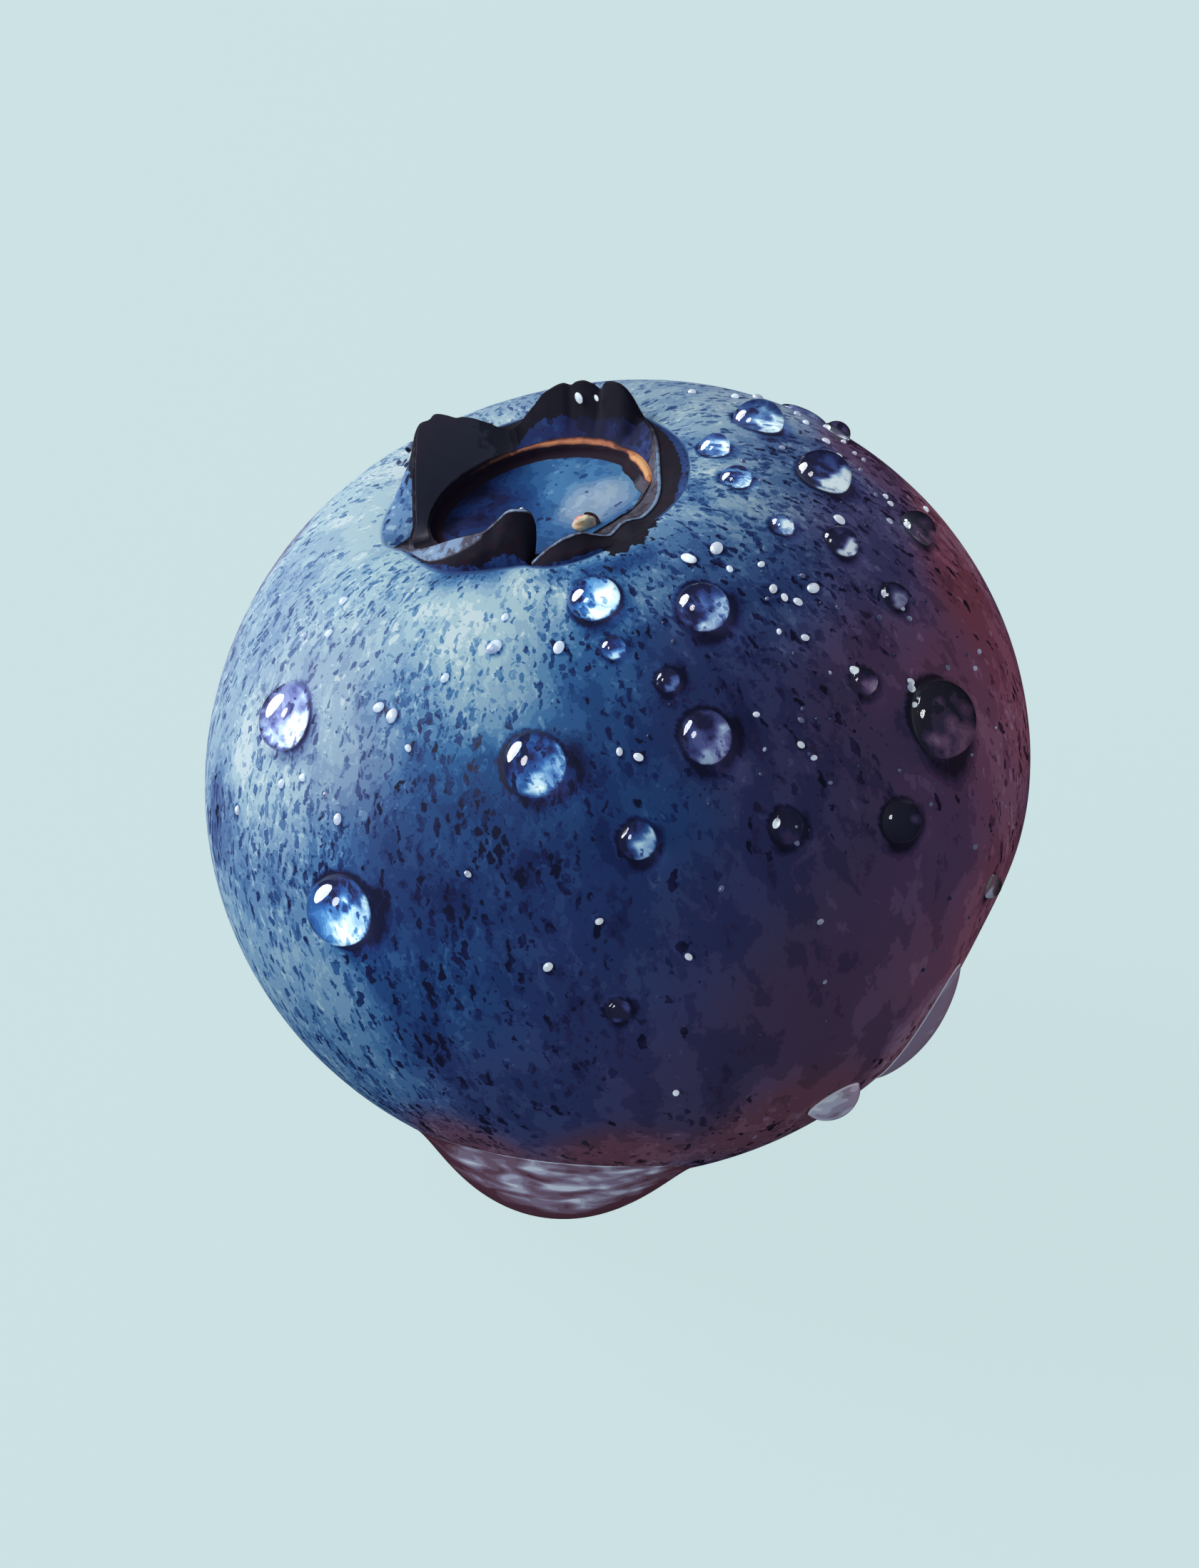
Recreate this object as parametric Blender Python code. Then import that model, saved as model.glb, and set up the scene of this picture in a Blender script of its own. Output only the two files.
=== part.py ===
# A ripe highbush blueberry, freshly rinsed and lying on its stem end, with the
# water that clings to it. The berry is one grown body: skin, crown of dried
# sepals, bowl inside the crown, stump of the style, and stem scar.
# The water is separate: a large drop hanging under the front, a smaller one
# under the right flank, a shallow run beside it, and beads all round.

import math
import random

import bmesh
import bpy
from mathutils import Matrix, Vector

MM = 0.001

# The berry, as it grew: its own axis runs up through the crown
EQUATOR_RADIUS = 8.0 * MM
POLE_RADIUS = 7.45 * MM
CROWN_SINK = 1.5 * MM  # how far the skin dips towards the crown
CROWN_SINK_SPREAD = math.radians(21)
STEM_SINK = 0.35 * MM
STEM_SINK_SPREAD = math.radians(9)
UNEVENNESS = 0.006  # the berry is not quite round
FLANK_DENT = 0.30 * MM  # a flatter place low on the right flank
FLANK_DENT_SPREAD = math.radians(13)

# How it lies: leaning to the left, on a small flat spot beside the stem scar
LEAN = math.radians(15)
LEAN_HEADING = math.radians(190)  # from +X, anticlockwise seen from above
FLAT_DEPTH = 0.15 * MM

# The crown: a ring where the petals fell off, and five dried sepals on it
RING_RADIUS = 2.15 * MM
RING_HEIGHT = 6.40 * MM  # above the berry's middle, along its axis
SEPAL_THICKNESS = 0.60 * MM
SEPAL_EDGE_ROUND = 0.24 * MM  # how far its rounded edge stands over its faces
SEPAL_OUTLINE = 2.4  # 2 is a round arch, more has squarer shoulders
SEPAL_BEND_START = 0.7  # over 1 bends near the edge only, under 1 from the foot
RIM_HEIGHT = 0.22 * MM  # between two sepals
RIM_STIFFNESS = 0.15  # share of the upright rim in a sepal's lean
BOWL_DEPTH = 0.48 * MM
BOWL_FLOOR_RADIUS = 1.85 * MM
STYLE_RADIUS = 0.24 * MM
STYLE_HEIGHT = 0.34 * MM
STYLE_OFFSET = 1.02 * MM
STYLE_AROUND = math.radians(62)
STEM_SCAR_RADIUS = 0.78 * MM
STEM_SCAR_DEPTH = 0.22 * MM

# Water: the hairline keeps each drop off the skin that it lies on
HAIRLINE = 0.03 * MM
BEAD_HEIGHT = 0.40  # of its width
VIEW_HEIGHT = math.radians(30)  # the front view that places the beads looks down
HIDDEN_BEADS = 10
SEED = 7

# Mesh fineness
COLUMNS = 72
SKIN_ROWS = 23
SEPAL_ROWS = 5
BEAD_SIDES = 10
DROP_SIDES = 24

# Angles round the axis start at the front and run to the right, in degrees.
# The lean is that of the edge: over 0 outwards, under 0 over the bowl. The last
# one is the corner of the fourth sepal, which has dried into a curl.
SEPALS = (
    {"around": 34, "before": 30, "after": 30, "height": 0.22, "lean": 22},
    {"around": 88, "before": 26, "after": 26, "height": 0.34, "lean": 24},
    {"around": 146, "before": 32, "after": 44, "height": 0.60, "lean": 5},
    {"around": 234, "before": 41, "after": 46, "height": 0.90, "lean": -23},
    {"around": 314, "before": 36, "after": 44, "height": 0.40, "lean": 0},
    {"around": 354, "before": 26, "after": 10, "height": 0.72, "lean": -30},
)

# The beads that show most, as the front view has them: millimetres to the right
# of the berry's middle and above it, and width
BEADS = (
    (-0.45, 3.25, 1.10),
    (1.55, 3.10, 1.10),
    (-1.55, 0.20, 1.25),
    (1.60, 0.70, 1.05),
    (0.35, -1.20, 0.75),
    (2.65, 6.70, 1.05),
    (3.85, 5.65, 1.15),
    (1.80, 6.15, 0.70),
    (2.20, 5.55, 0.65),
    (5.65, 4.65, 0.80),
    (-6.15, 1.10, 1.30),
    (-5.15, -2.50, 1.50),
    (3.10, -0.95, 0.70),
    (5.25, -0.85, 0.90),
    (6.00, 1.05, 1.60),
    (4.55, 1.75, 0.60),
    (7.05, -2.10, 0.50),
    (4.20, 6.55, 0.55),
    (4.15, 4.35, 0.70),
    (3.05, 4.65, 0.55),
    (5.15, 3.35, 0.60),
    (0.90, 1.75, 0.50),
    (-0.10, 2.35, 0.50),
    (0.00, -4.35, 0.50),
)

# Water that has run down: place as for the beads, half its width and half its
# length along the skin, and height
HANGING_DROP = {"right": -1.25, "up": -7.58, "half": (2.95, 1.60), "height": 0.86}
SIDE_DROP = {"right": 4.10, "up": -6.15, "half": (0.62, 0.50), "height": 0.34}
WATER_RUN = {"right": 5.85, "up": -4.85, "half": (0.75, 1.75), "height": 0.24}


def wrapped(degrees):
    """The same angle between -180 and 180."""
    return (degrees + 180) % 360 - 180


def direction_at(around, down):
    """The direction from the berry's middle, from two angles in radians."""
    flat = math.sin(down)
    return Vector((math.sin(around) * flat, -math.cos(around) * flat, math.cos(down)))


FLANK_DENT_AT = direction_at(math.radians(70), math.radians(118))


def skin_radius(direction):
    """Distance from the berry's middle to its skin, without the crown."""
    down = math.acos(max(-1, min(1, direction.z)))
    around = math.atan2(direction.x, -direction.y)
    flat, up = math.sin(down) / EQUATOR_RADIUS, math.cos(down) / POLE_RADIUS
    radius = 1 / math.hypot(flat, up)
    radius *= 1 + UNEVENNESS * math.sin(down) * math.cos(2 * around + 0.6)
    radius += UNEVENNESS / 2 * EQUATOR_RADIUS * math.sin(down) * math.cos(3 * around)
    radius -= CROWN_SINK * math.exp(-((down / CROWN_SINK_SPREAD) ** 2))
    radius -= STEM_SINK * math.exp(-(((math.pi - down) / STEM_SINK_SPREAD) ** 2))
    from_dent = direction.angle(FLANK_DENT_AT)
    return radius - FLANK_DENT * math.exp(-((from_dent / FLANK_DENT_SPREAD) ** 2))


def body_matrix():
    """Leans the berry over and sets it down, its lowest point FLAT_DEPTH below z = 0."""
    heading = Vector((math.cos(LEAN_HEADING), math.sin(LEAN_HEADING), 0))
    turn = Matrix.Rotation(LEAN, 4, Vector((0, 0, 1)).cross(heading))
    underside = (
        direction_at(math.radians(around), math.pi - math.radians(up))
        for around in range(0, 360, 2)
        for up in range(3, 36)
    )
    foot = min((turn @ (d * skin_radius(d)) for d in underside), key=lambda point: point.z)
    return Matrix.Translation(Vector((0, 0, -FLAT_DEPTH)) - foot) @ turn


def sepal_share(sepal, around):
    """From 1 on a sepal's middle line to 0 at its sides."""
    off = wrapped(math.degrees(around) - sepal["around"])
    half = sepal["after"] if off > 0 else sepal["before"]
    return max(0, 1 - abs(off / half) ** SEPAL_OUTLINE)


def rim_at(around):
    """Height and lean of the crown's edge at this angle."""
    shares = [sepal_share(sepal, around) for sepal in SEPALS]
    tallest = max(sepal["height"] * share for sepal, share in zip(SEPALS, shares))
    leans = sum(sepal["lean"] * share for sepal, share in zip(SEPALS, shares))
    lean = leans / (sum(shares) + RIM_STIFFNESS)
    return RIM_HEIGHT + tallest * MM, math.radians(lean)


def sepal_point(around, share, outwards):
    """A point (radius, height) on the crown at this share of the way up its edge.

    outwards is 0 on the inner face and the full thickness on the outer one.
    """
    height, lean = rim_at(around)
    bend = lean * share**SEPAL_BEND_START
    radius = RING_RADIUS + height * share * math.sin(bend)
    up = RING_HEIGHT + height * share * math.cos(bend)
    return radius + outwards * math.cos(bend), up - outwards * math.sin(bend)


def on_axis_plane(around, radius, up):
    return Vector((math.sin(around) * radius, -math.cos(around) * radius, up))


def berry_rows():
    """Rings of the berry from the stem scar to the style, each a function of the angle."""

    def stem_end(radius, sink):
        def at(around):
            towards = direction_at(around, math.pi - radius / POLE_RADIUS)
            return towards * (skin_radius(towards) - sink)

        return at

    def skin(down):
        def at(around):
            towards = direction_at(around, down)
            return towards * skin_radius(towards)

        return at

    def outer_face(share):
        def at(around):
            return on_axis_plane(around, *sepal_point(around, share, SEPAL_THICKNESS))

        return at

    def edge(turn):
        """The sepals' edge, rounded over from the outer face to the inner one."""

        def at(around):
            _, lean = rim_at(around)
            radius, up = sepal_point(around, 1, SEPAL_THICKNESS / 2)
            across = math.cos(turn) * SEPAL_THICKNESS / 2
            over = math.sin(turn) * SEPAL_EDGE_ROUND
            return on_axis_plane(
                around,
                radius + across * math.cos(lean) + over * math.sin(lean),
                up - across * math.sin(lean) + over * math.cos(lean),
            )

        return at

    def inner_face(share):
        def at(around):
            return on_axis_plane(around, *sepal_point(around, share, 0))

        return at

    style = on_axis_plane(STYLE_AROUND, STYLE_OFFSET, 0)

    def bowl(radius, below, shift):
        def at(around):
            return on_axis_plane(around, radius, RING_HEIGHT - below) + style * shift

        return at

    rows = [
        stem_end(STEM_SCAR_RADIUS * 0.35, STEM_SCAR_DEPTH * 0.7),
        stem_end(STEM_SCAR_RADIUS * 0.75, STEM_SCAR_DEPTH),
        stem_end(STEM_SCAR_RADIUS * 0.95, STEM_SCAR_DEPTH * 0.2),
    ]
    first = math.pi - 1.25 * STEM_SCAR_RADIUS / POLE_RADIUS
    last = math.atan2(RING_RADIUS + SEPAL_THICKNESS, RING_HEIGHT)
    rows += [skin(first + (last - first) * i / (SKIN_ROWS - 1)) for i in range(SKIN_ROWS)]
    rows += [outer_face((i + 0.5) / (SEPAL_ROWS + 0.5)) for i in range(1, SEPAL_ROWS + 1)]
    rows += [edge(math.pi / 4), edge(math.pi / 2), edge(math.pi * 3 / 4)]
    rows += [inner_face(1 - i / SEPAL_ROWS) for i in range(SEPAL_ROWS + 1)]
    rows += [
        bowl(RING_RADIUS * 0.95, 0.05 * MM, 0),
        bowl((RING_RADIUS + BOWL_FLOOR_RADIUS) / 2, BOWL_DEPTH * 0.6, 0),
        bowl(BOWL_FLOOR_RADIUS, BOWL_DEPTH, 0.05),
        bowl(BOWL_FLOOR_RADIUS * 0.62, BOWL_DEPTH * 0.97, 0.45),
        bowl(STYLE_RADIUS * 1.9, BOWL_DEPTH, 1),
        bowl(STYLE_RADIUS, BOWL_DEPTH, 1),
        bowl(STYLE_RADIUS * 0.8, BOWL_DEPTH - STYLE_HEIGHT, 1),
    ]
    return rows


def extruded_rings(bm, columns, rows):
    """Extrudes one ring of points into the next; closes both ends with a cap."""
    column = bm.verts.layers.int.new("column")
    step = 2 * math.pi / columns
    ring = bmesh.ops.create_circle(bm, segments=columns, radius=1)["verts"]
    for i, vert in enumerate(ring):
        vert[column] = i
        vert.co = rows[0](i * step)
    edges = list(bm.edges)
    bmesh.ops.contextual_create(bm, geom=edges)
    for row in rows[1:]:
        made = bmesh.ops.extrude_edge_only(bm, edges=edges)["geom"]
        edges = [item for item in made if isinstance(item, bmesh.types.BMEdge)]
        for vert in made:
            if isinstance(vert, bmesh.types.BMVert):
                vert.co = row(vert[column] * step)
    bmesh.ops.contextual_create(bm, geom=edges)
    bmesh.ops.recalc_face_normals(bm, faces=bm.faces)


def finished(name, bm, material):
    """Writes the solid as an object of its own, shaded smooth."""
    mesh = bpy.data.meshes.new(name)
    bm.to_mesh(mesh)
    bm.free()
    mesh.shade_smooth()
    mesh.set_sharp_from_angle(angle=math.radians(50))
    mesh.materials.append(material)
    obj = bpy.data.objects.new(name, mesh)
    bpy.context.scene.collection.objects.link(obj)
    return obj


def berry(placed, material):
    """The whole berry in one body, cut flat where it rests."""
    bm = bmesh.new()
    extruded_rings(bm, COLUMNS, berry_rows())
    bmesh.ops.transform(bm, matrix=placed, verts=bm.verts)
    everything = [*bm.verts, *bm.edges, *bm.faces]
    cut = bmesh.ops.bisect_plane(
        bm, geom=everything, plane_co=(0, 0, 0), plane_no=(0, 0, 1), clear_inner=True
    )["geom_cut"]
    bmesh.ops.contextual_create(
        bm, geom=[item for item in cut if isinstance(item, bmesh.types.BMEdge)]
    )
    bmesh.ops.recalc_face_normals(bm, faces=bm.faces)
    return finished("berry", bm, material)


def water_lens(name, placed, middle, half_sizes, height, fullness, sides, rows, material):
    """A closed lens of water on the skin round the direction middle.

    half_sizes are its half width and half length along the skin, level and
    downhill. fullness over 1 feathers its edge, under 1 makes it stand
    steep like a bead.
    """
    turn = placed.to_3x3().normalized()
    up = turn.inverted() @ Vector((0, 0, 1))
    level = middle.cross(up).normalized()
    downhill = level.cross(middle).normalized() * -1

    def on_skin(out, around, lift):
        across = math.cos(around) * out * half_sizes[0] / EQUATOR_RADIUS
        along = math.sin(around) * out * half_sizes[1] / EQUATOR_RADIUS
        towards = (middle + level * across + downhill * along).normalized()
        return towards * (skin_radius(towards) + HAIRLINE + lift)

    def top(out):
        def at(around):
            return on_skin(out, around, height * (1 - out * out) ** fullness)

        return at

    bm = bmesh.new()
    below = [lambda around, out=i / rows: on_skin(out, around, 0) for i in range(1, rows)]
    outs = [math.sin(math.pi / 2 * (1 - i / rows)) for i in range(rows)]
    extruded_rings(bm, sides, [*below, *[top(out) for out in outs]])
    bmesh.ops.transform(bm, matrix=placed, verts=bm.verts)
    return finished(name, bm, material)


def seen_at(placed, right, up):
    """Direction in the berry's frame to the skin that the front view has at this place."""
    to_berry = placed.to_3x3().normalized().inverted()
    across = Vector((right, 0, 0)) * MM
    across += Vector((0, math.sin(VIEW_HEIGHT), math.cos(VIEW_HEIGHT))) * up * MM
    nearer = Vector((0, -math.cos(VIEW_HEIGHT), math.sin(VIEW_HEIGHT)))
    place = across + nearer * EQUATOR_RADIUS / 2
    for _ in range(6):
        radius = skin_radius((to_berry @ place).normalized())
        place = across + nearer * math.sqrt(max(0, radius**2 - across.length_squared))
    return (to_berry @ place).normalized()


def bead(name, placed, middle, width, material):
    """A round bead of water."""
    half = width / 2
    height = width * BEAD_HEIGHT
    return water_lens(name, placed, middle, (half, half), height, 0.5, BEAD_SIDES, 3, material)


def drop(name, placed, sizes, fullness, sides, rows, material):
    middle = seen_at(placed, sizes["right"], sizes["up"])
    half_sizes = [half * MM for half in sizes["half"]]
    height = sizes["height"] * MM
    return water_lens(name, placed, middle, half_sizes, height, fullness, sides, rows, material)


def hidden_beads():
    """Places for the beads on the far side, spread evenly in three rows, then jittered."""
    draw = random.Random(SEED)
    places = []
    for i in range(HIDDEN_BEADS):
        around = 128 + 108 * (i + 0.5) / HIDDEN_BEADS + draw.uniform(-5, 5)
        down = (62, 104, 83)[i % 3] + draw.uniform(-8, 8)
        middle = direction_at(math.radians(around), math.radians(down))
        places.append((middle, draw.uniform(0.6, 1.25) * MM))
    return places


def painted(name, colour, roughness, transmission=0):
    material = bpy.data.materials.new(name)
    material.diffuse_color = (*colour, 1)
    material.use_nodes = True
    shader = material.node_tree.nodes["Principled BSDF"]
    shader.inputs["Base Color"].default_value = (*colour, 1)
    shader.inputs["Roughness"].default_value = roughness
    shader.inputs["Metallic"].default_value = 0
    shader.inputs["Transmission Weight"].default_value = transmission
    return material


def clear_scene():
    for obj in list(bpy.data.objects):
        bpy.data.objects.remove(obj)


def main():
    clear_scene()
    placed = body_matrix()
    skin = painted("waxy_skin", (0.055, 0.095, 0.26), 0.55)
    water = painted("water", (0.85, 0.92, 0.97), 0.03, transmission=1)
    berry(placed, skin)
    shown = [(seen_at(placed, right, up), width * MM) for right, up, width in BEADS]
    for i, (middle, width) in enumerate((*shown, *hidden_beads()), 1):
        bead(f"water_bead_{i:02d}", placed, middle, width, water)
    drop("hanging_drop", placed, HANGING_DROP, 1.5, DROP_SIDES, 7, water)
    drop("side_drop", placed, SIDE_DROP, 0.7, BEAD_SIDES + 4, 4, water)
    drop("water_run", placed, WATER_RUN, 0.8, DROP_SIDES - 4, 4, water)


main()
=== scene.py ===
import math
import random

import bmesh
import bpy
import numpy as np
from mathutils import Matrix, Vector, noise


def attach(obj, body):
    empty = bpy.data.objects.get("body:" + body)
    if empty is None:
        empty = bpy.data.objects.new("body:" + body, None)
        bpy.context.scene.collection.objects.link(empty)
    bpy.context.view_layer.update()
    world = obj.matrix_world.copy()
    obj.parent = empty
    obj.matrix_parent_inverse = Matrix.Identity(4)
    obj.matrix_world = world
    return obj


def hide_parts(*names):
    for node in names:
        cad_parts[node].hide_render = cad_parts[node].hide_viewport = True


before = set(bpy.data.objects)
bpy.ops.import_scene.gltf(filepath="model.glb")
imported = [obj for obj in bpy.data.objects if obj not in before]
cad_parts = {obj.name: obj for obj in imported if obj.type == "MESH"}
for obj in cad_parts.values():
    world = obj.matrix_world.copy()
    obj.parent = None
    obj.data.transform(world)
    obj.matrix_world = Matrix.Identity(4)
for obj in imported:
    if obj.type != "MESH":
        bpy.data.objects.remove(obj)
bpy.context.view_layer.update()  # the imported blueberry: its skin and water solids
mm = 0.001
noise.seed_set(4)  # holds the dried tissue's wrinkles, which would change with the clock


def linear(hexColour):
    channels = [int(hexColour[i : i + 2], 16) / 255 for i in (1, 3, 5)]
    return [c / 12.92 if c <= 0.04045 else ((c + 0.055) / 1.055) ** 2.4 for c in channels] + [1]


def startMaterial(name):
    # a new material, and its node tree with nothing in it yet
    material = bpy.data.materials.new(name)
    material.use_nodes = True
    material.node_tree.nodes.clear()
    return material, material.node_tree


def add(tree, kind, sockets=(), stops=None, out=0, **settings):
    # adds a node with its settings, its sockets (by name or in order, each a value or the output
    # that feeds it) and its ramp, and gives back one of its outputs
    made = tree.nodes.new("ShaderNode" + kind)
    for name, value in settings.items():
        setattr(made, name, value)
    for name, value in sockets.items() if isinstance(sockets, dict) else enumerate(sockets):
        if isinstance(value, bpy.types.NodeSocket):
            tree.links.new(value, made.inputs[name])
        else:
            made.inputs[name].default_value = value
    if stops:
        ramp = made.color_ramp
        ramp.elements.remove(ramp.elements[1])
        ramp.elements[0].position = stops[0][0]
        ramp.elements[0].color = linear(stops[0][1])
        for position, colour in stops[1:]:
            ramp.elements.new(position).color = linear(colour)
    return made.outputs[out] if made.outputs else None


def smooth(low, high, value):
    share = max(0, min(1, (value - low) / (high - low)))
    return share * share * (3 - 2 * share)


def along(table, around):
    # values at this angle in degrees, on a smooth closed curve through the table's rows
    around %= 360
    count = len(table)
    after = next((i for i, row in enumerate(table) if row[0] > around), count)
    rows = [table[(after + step) % count] for step in (-2, -1, 0, 1)]
    start, end = rows[1][0], rows[2][0]
    share = ((around - start) % 360) / (((end - start) % 360) or 360)
    weights = (
        (-share + 2 * share**2 - share**3) / 2,
        (2 - 5 * share**2 + 3 * share**3) / 2,
        (share + 4 * share**2 - 3 * share**3) / 2,
        (share**3 - share**2) / 2,
    )
    return [sum(weight * row[i] for weight, row in zip(weights, rows)) for i in range(1, len(table[0]))]


# The berry as it grew, with the sizes of its solid. Its own axis runs up through the crown
grown = {
    "equatorRadius": 8.0 * mm,
    "poleRadius": 7.45 * mm,
    "crownSink": 1.5 * mm,
    "crownSinkSpread": math.radians(21),
    "stemSink": 0.35 * mm,
    "stemSinkSpread": math.radians(9),
    "unevenness": 0.006,
    "flankDent": 0.22 * mm,
    "flankDentSpread": math.radians(13),
    "underSolid": 0.012 * mm,  # keeps the finer skin inside the solid's
}
lies = {
    "lean": math.radians(15),
    "heading": math.radians(190),
    "middle": Vector((0.3855, 0.06797, 7.31922)) * mm,
    "seenFrom": math.radians(30),  # the front view looks down by this much
}


def directionAt(around, down):
    flat = math.sin(down)
    return Vector((math.sin(around) * flat, -math.cos(around) * flat, math.cos(down)))


flankDentAt = directionAt(math.radians(69), math.radians(121))


def skinRadius(direction):
    down = math.acos(max(-1, min(1, direction.z)))
    around = math.atan2(direction.x, -direction.y)
    equator, pole = grown["equatorRadius"], grown["poleRadius"]
    radius = 1 / math.hypot(math.sin(down) / equator, math.cos(down) / pole)
    radius *= 1 + grown["unevenness"] * math.sin(down) * math.cos(2 * around + 0.6)
    radius += grown["unevenness"] / 2 * equator * math.sin(down) * math.cos(3 * around)
    radius -= grown["crownSink"] * math.exp(-((down / grown["crownSinkSpread"]) ** 2))
    fromStem = (math.pi - down) / grown["stemSinkSpread"]
    radius -= grown["stemSink"] * math.exp(-(fromStem**2))
    fromDent = direction.angle(flankDentAt) / grown["flankDentSpread"]
    return radius - grown["flankDent"] * math.exp(-(fromDent**2)) - grown["underSolid"]


def lyingMatrix():
    heading = Vector((math.cos(lies["heading"]), math.sin(lies["heading"]), 0))
    turn = Matrix.Rotation(lies["lean"], 4, Vector((0, 0, 1)).cross(heading))
    return Matrix.Translation(lies["middle"]) @ turn


placed = lyingMatrix()
turned = placed.to_3x3()
upright = turned.inverted()
towardsEye = Vector((0, -math.cos(lies["seenFrom"]), math.sin(lies["seenFrom"])))
viewUp = Vector((0, math.sin(lies["seenFrom"]), math.cos(lies["seenFrom"])))


def seenAt(right, up):
    # the direction, in the berry's own frame, of the skin that the front view has there
    across = Vector((right, 0, 0)) * mm + viewUp * up * mm
    place = across + towardsEye * grown["equatorRadius"] / 2
    for _ in range(6):
        radius = skinRadius((upright @ place).normalized())
        place = across + towardsEye * math.sqrt(max(0, radius**2 - across.length_squared))
    return (upright @ place).normalized()


def startPiece(name):
    # leaves only the new primitive selected, renamed, in edit mode with nothing picked
    piece = bpy.context.object
    piece.name = piece.data.name = name
    bpy.ops.object.mode_set(mode="EDIT")
    bpy.ops.mesh.select_mode(type="VERT")
    bpy.ops.mesh.select_all(action="DESELECT")
    return piece


def clearPick():
    if bpy.context.object and bpy.context.object.mode != "OBJECT":
        bpy.ops.object.mode_set(mode="OBJECT")
    bpy.ops.object.select_all(action="DESELECT")


# Camera, floor and light
cameraSetup = {
    "distance": 200 * mm,
    "lens": 239.5,
    "aimRight": -0.346 * mm,  # from the berry's middle, as the photo is framed
    "aimUp": -0.166 * mm,
}


def makeCamera():
    aim = lies["middle"] + Vector((cameraSetup["aimRight"], 0, 0))
    aim += viewUp * cameraSetup["aimUp"]
    bpy.ops.object.camera_add(
        location=aim + towardsEye * cameraSetup["distance"],
        rotation=(math.pi / 2 - lies["seenFrom"], 0, 0),
    )
    camera = bpy.context.object
    camera.name = "studioCamera"
    camera.data.lens = cameraSetup["lens"]
    camera.data.clip_start = 10 * mm
    camera.data.clip_end = 20
    bpy.context.scene.camera = camera


floorSetup = {
    "size": 8,
    "colour": "#cbe1e3",
    "glow": 0.965,  # nearly all of the floor's tone is its own, so that shadows stay faint
    "paint": ("#151a1b", "#181d1e"),
}


def makeFloor():
    clearPick()
    bpy.ops.mesh.primitive_plane_add(size=floorSetup["size"], location=(0, 0, 0))
    floor = bpy.context.object
    floor.name = "paleStudioFloor"
    card, tree = startMaterial("mattPaintedCard")
    grain = add(tree, "TexNoise", {"Scale": 400, "Detail": 2})
    darker, paler = (linear(tone) for tone in floorSetup["paint"])
    paint = add(tree, "Mix", {0: grain, 6: darker, 7: paler}, data_type="RGBA", out=2)
    shader = add(
        tree, "BsdfPrincipled",
        {
            "Base Color": paint,
            "Roughness": 0.9,
            "Specular IOR Level": 0.1,
            "Emission Color": linear(floorSetup["colour"]),
            "Emission Strength": floorSetup["glow"],
        },
    )
    add(tree, "OutputMaterial", {"Surface": shader})
    floor.data.materials.append(card)
    floor.visible_diffuse = False  # so that its glow doesn't light the berry from below
    floor.visible_glossy = False


# Soft boxes. The key and fill give the skin its light, the window gives the glints on wax and
# water, and the last one only lights what lies under the water, as a lens of water would
lights = (
    # name, direction from the berry, distance, width, height, watts, colour, (skin, gloss, under water)
    ("keyFromBackLeft", (-0.70, 0.28, 0.62), 0.40, 0.24, 0.24, 1.05, "#fffdf8", (True, False, True)),
    ("fillFromTheLeft", (-0.92, -0.45, 0.10), 0.45, 0.30, 0.30, 0.64, "#e6f2ff", (True, False, False)),
    ("warmRimFromTheRight", (0.85, 0.50, 0.05), 0.45, 0.24, 0.24, 0.66, "#ff8f96", (True, False, False)),
    ("windowGlint", (-0.85, 0.32, 0.41), 0.42, 0.30, 0.40, 11.0, "#eef4ff", (False, True, False)),
    ("smallWindowGlint", (-0.60, -0.50, 0.62), 0.42, 0.13, 0.19, 2.0, "#ffffff", (False, True, False)),
    ("lensedByTheWater", (-0.80, 0.34, 0.50), 0.42, 0.42, 0.42, 2.50, "#fff3d8", (False, False, True)),
)
world = {"colour": "#b9cfe0", "strength": 0.40}


def makeLights():
    for name, towards, distance, width, tall, watts, colour, (skin, gloss, underWater) in lights:
        towards = Vector(towards).normalized()
        bpy.ops.object.light_add(type="AREA", location=lies["middle"] + towards * distance)
        light = bpy.context.object
        light.name = name
        light.rotation_euler = towards.to_track_quat("Z", "Y").to_euler()
        light.data.shape = "ELLIPSE"
        light.data.size, light.data.size_y = width, tall
        light.data.energy = watts
        light.data.color = linear(colour)[:3]
        light.visible_diffuse = skin
        light.visible_glossy = gloss
        light.visible_transmission = underWater
    studio = bpy.data.worlds.new("paleStudio")
    studio.use_nodes = True
    background = studio.node_tree.nodes["Background"]
    background.inputs["Color"].default_value = linear(world["colour"])
    background.inputs["Strength"].default_value = world["strength"]
    studio.cycles_visibility.glossy = False
    bpy.context.scene.world = studio
    bpy.context.scene.view_settings.view_transform = "Standard"


makeCamera()
makeFloor()
makeLights()
print("camera, floor and light are set")


# The berry: one body of skin, crown, scar ring and bowl
crownRing = {
    "height": 6.40 * mm,
    "skinEndsDown": math.radians(27.6),  # from here in, rings follow the foot of the sepals
    "footRise": 0.08 * mm,  # how high over the scar ring the sepals' foot stands
    "footRows": 6,
    "edgeThickness": 0.09 * mm,
    "outerRows": 14,
    "innerRows": 14,
    "backDrop": 0.09 * mm,  # how much lower the scar ring and the bowl's rim are at the back
    "bowlDepth": 0.12 * mm,
    "bowlHollow": 0.17 * mm,
    "bowlRim": 0.09 * mm,  # how far under the scar ring the bowl's wall begins
    "bowlWall": 0.07,  # the share of the way in that the steep wall takes
    "bowlLumps": 0.05 * mm,
    "bowlRows": 16,
    "wrinkle": 0.035 * mm,
}
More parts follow.
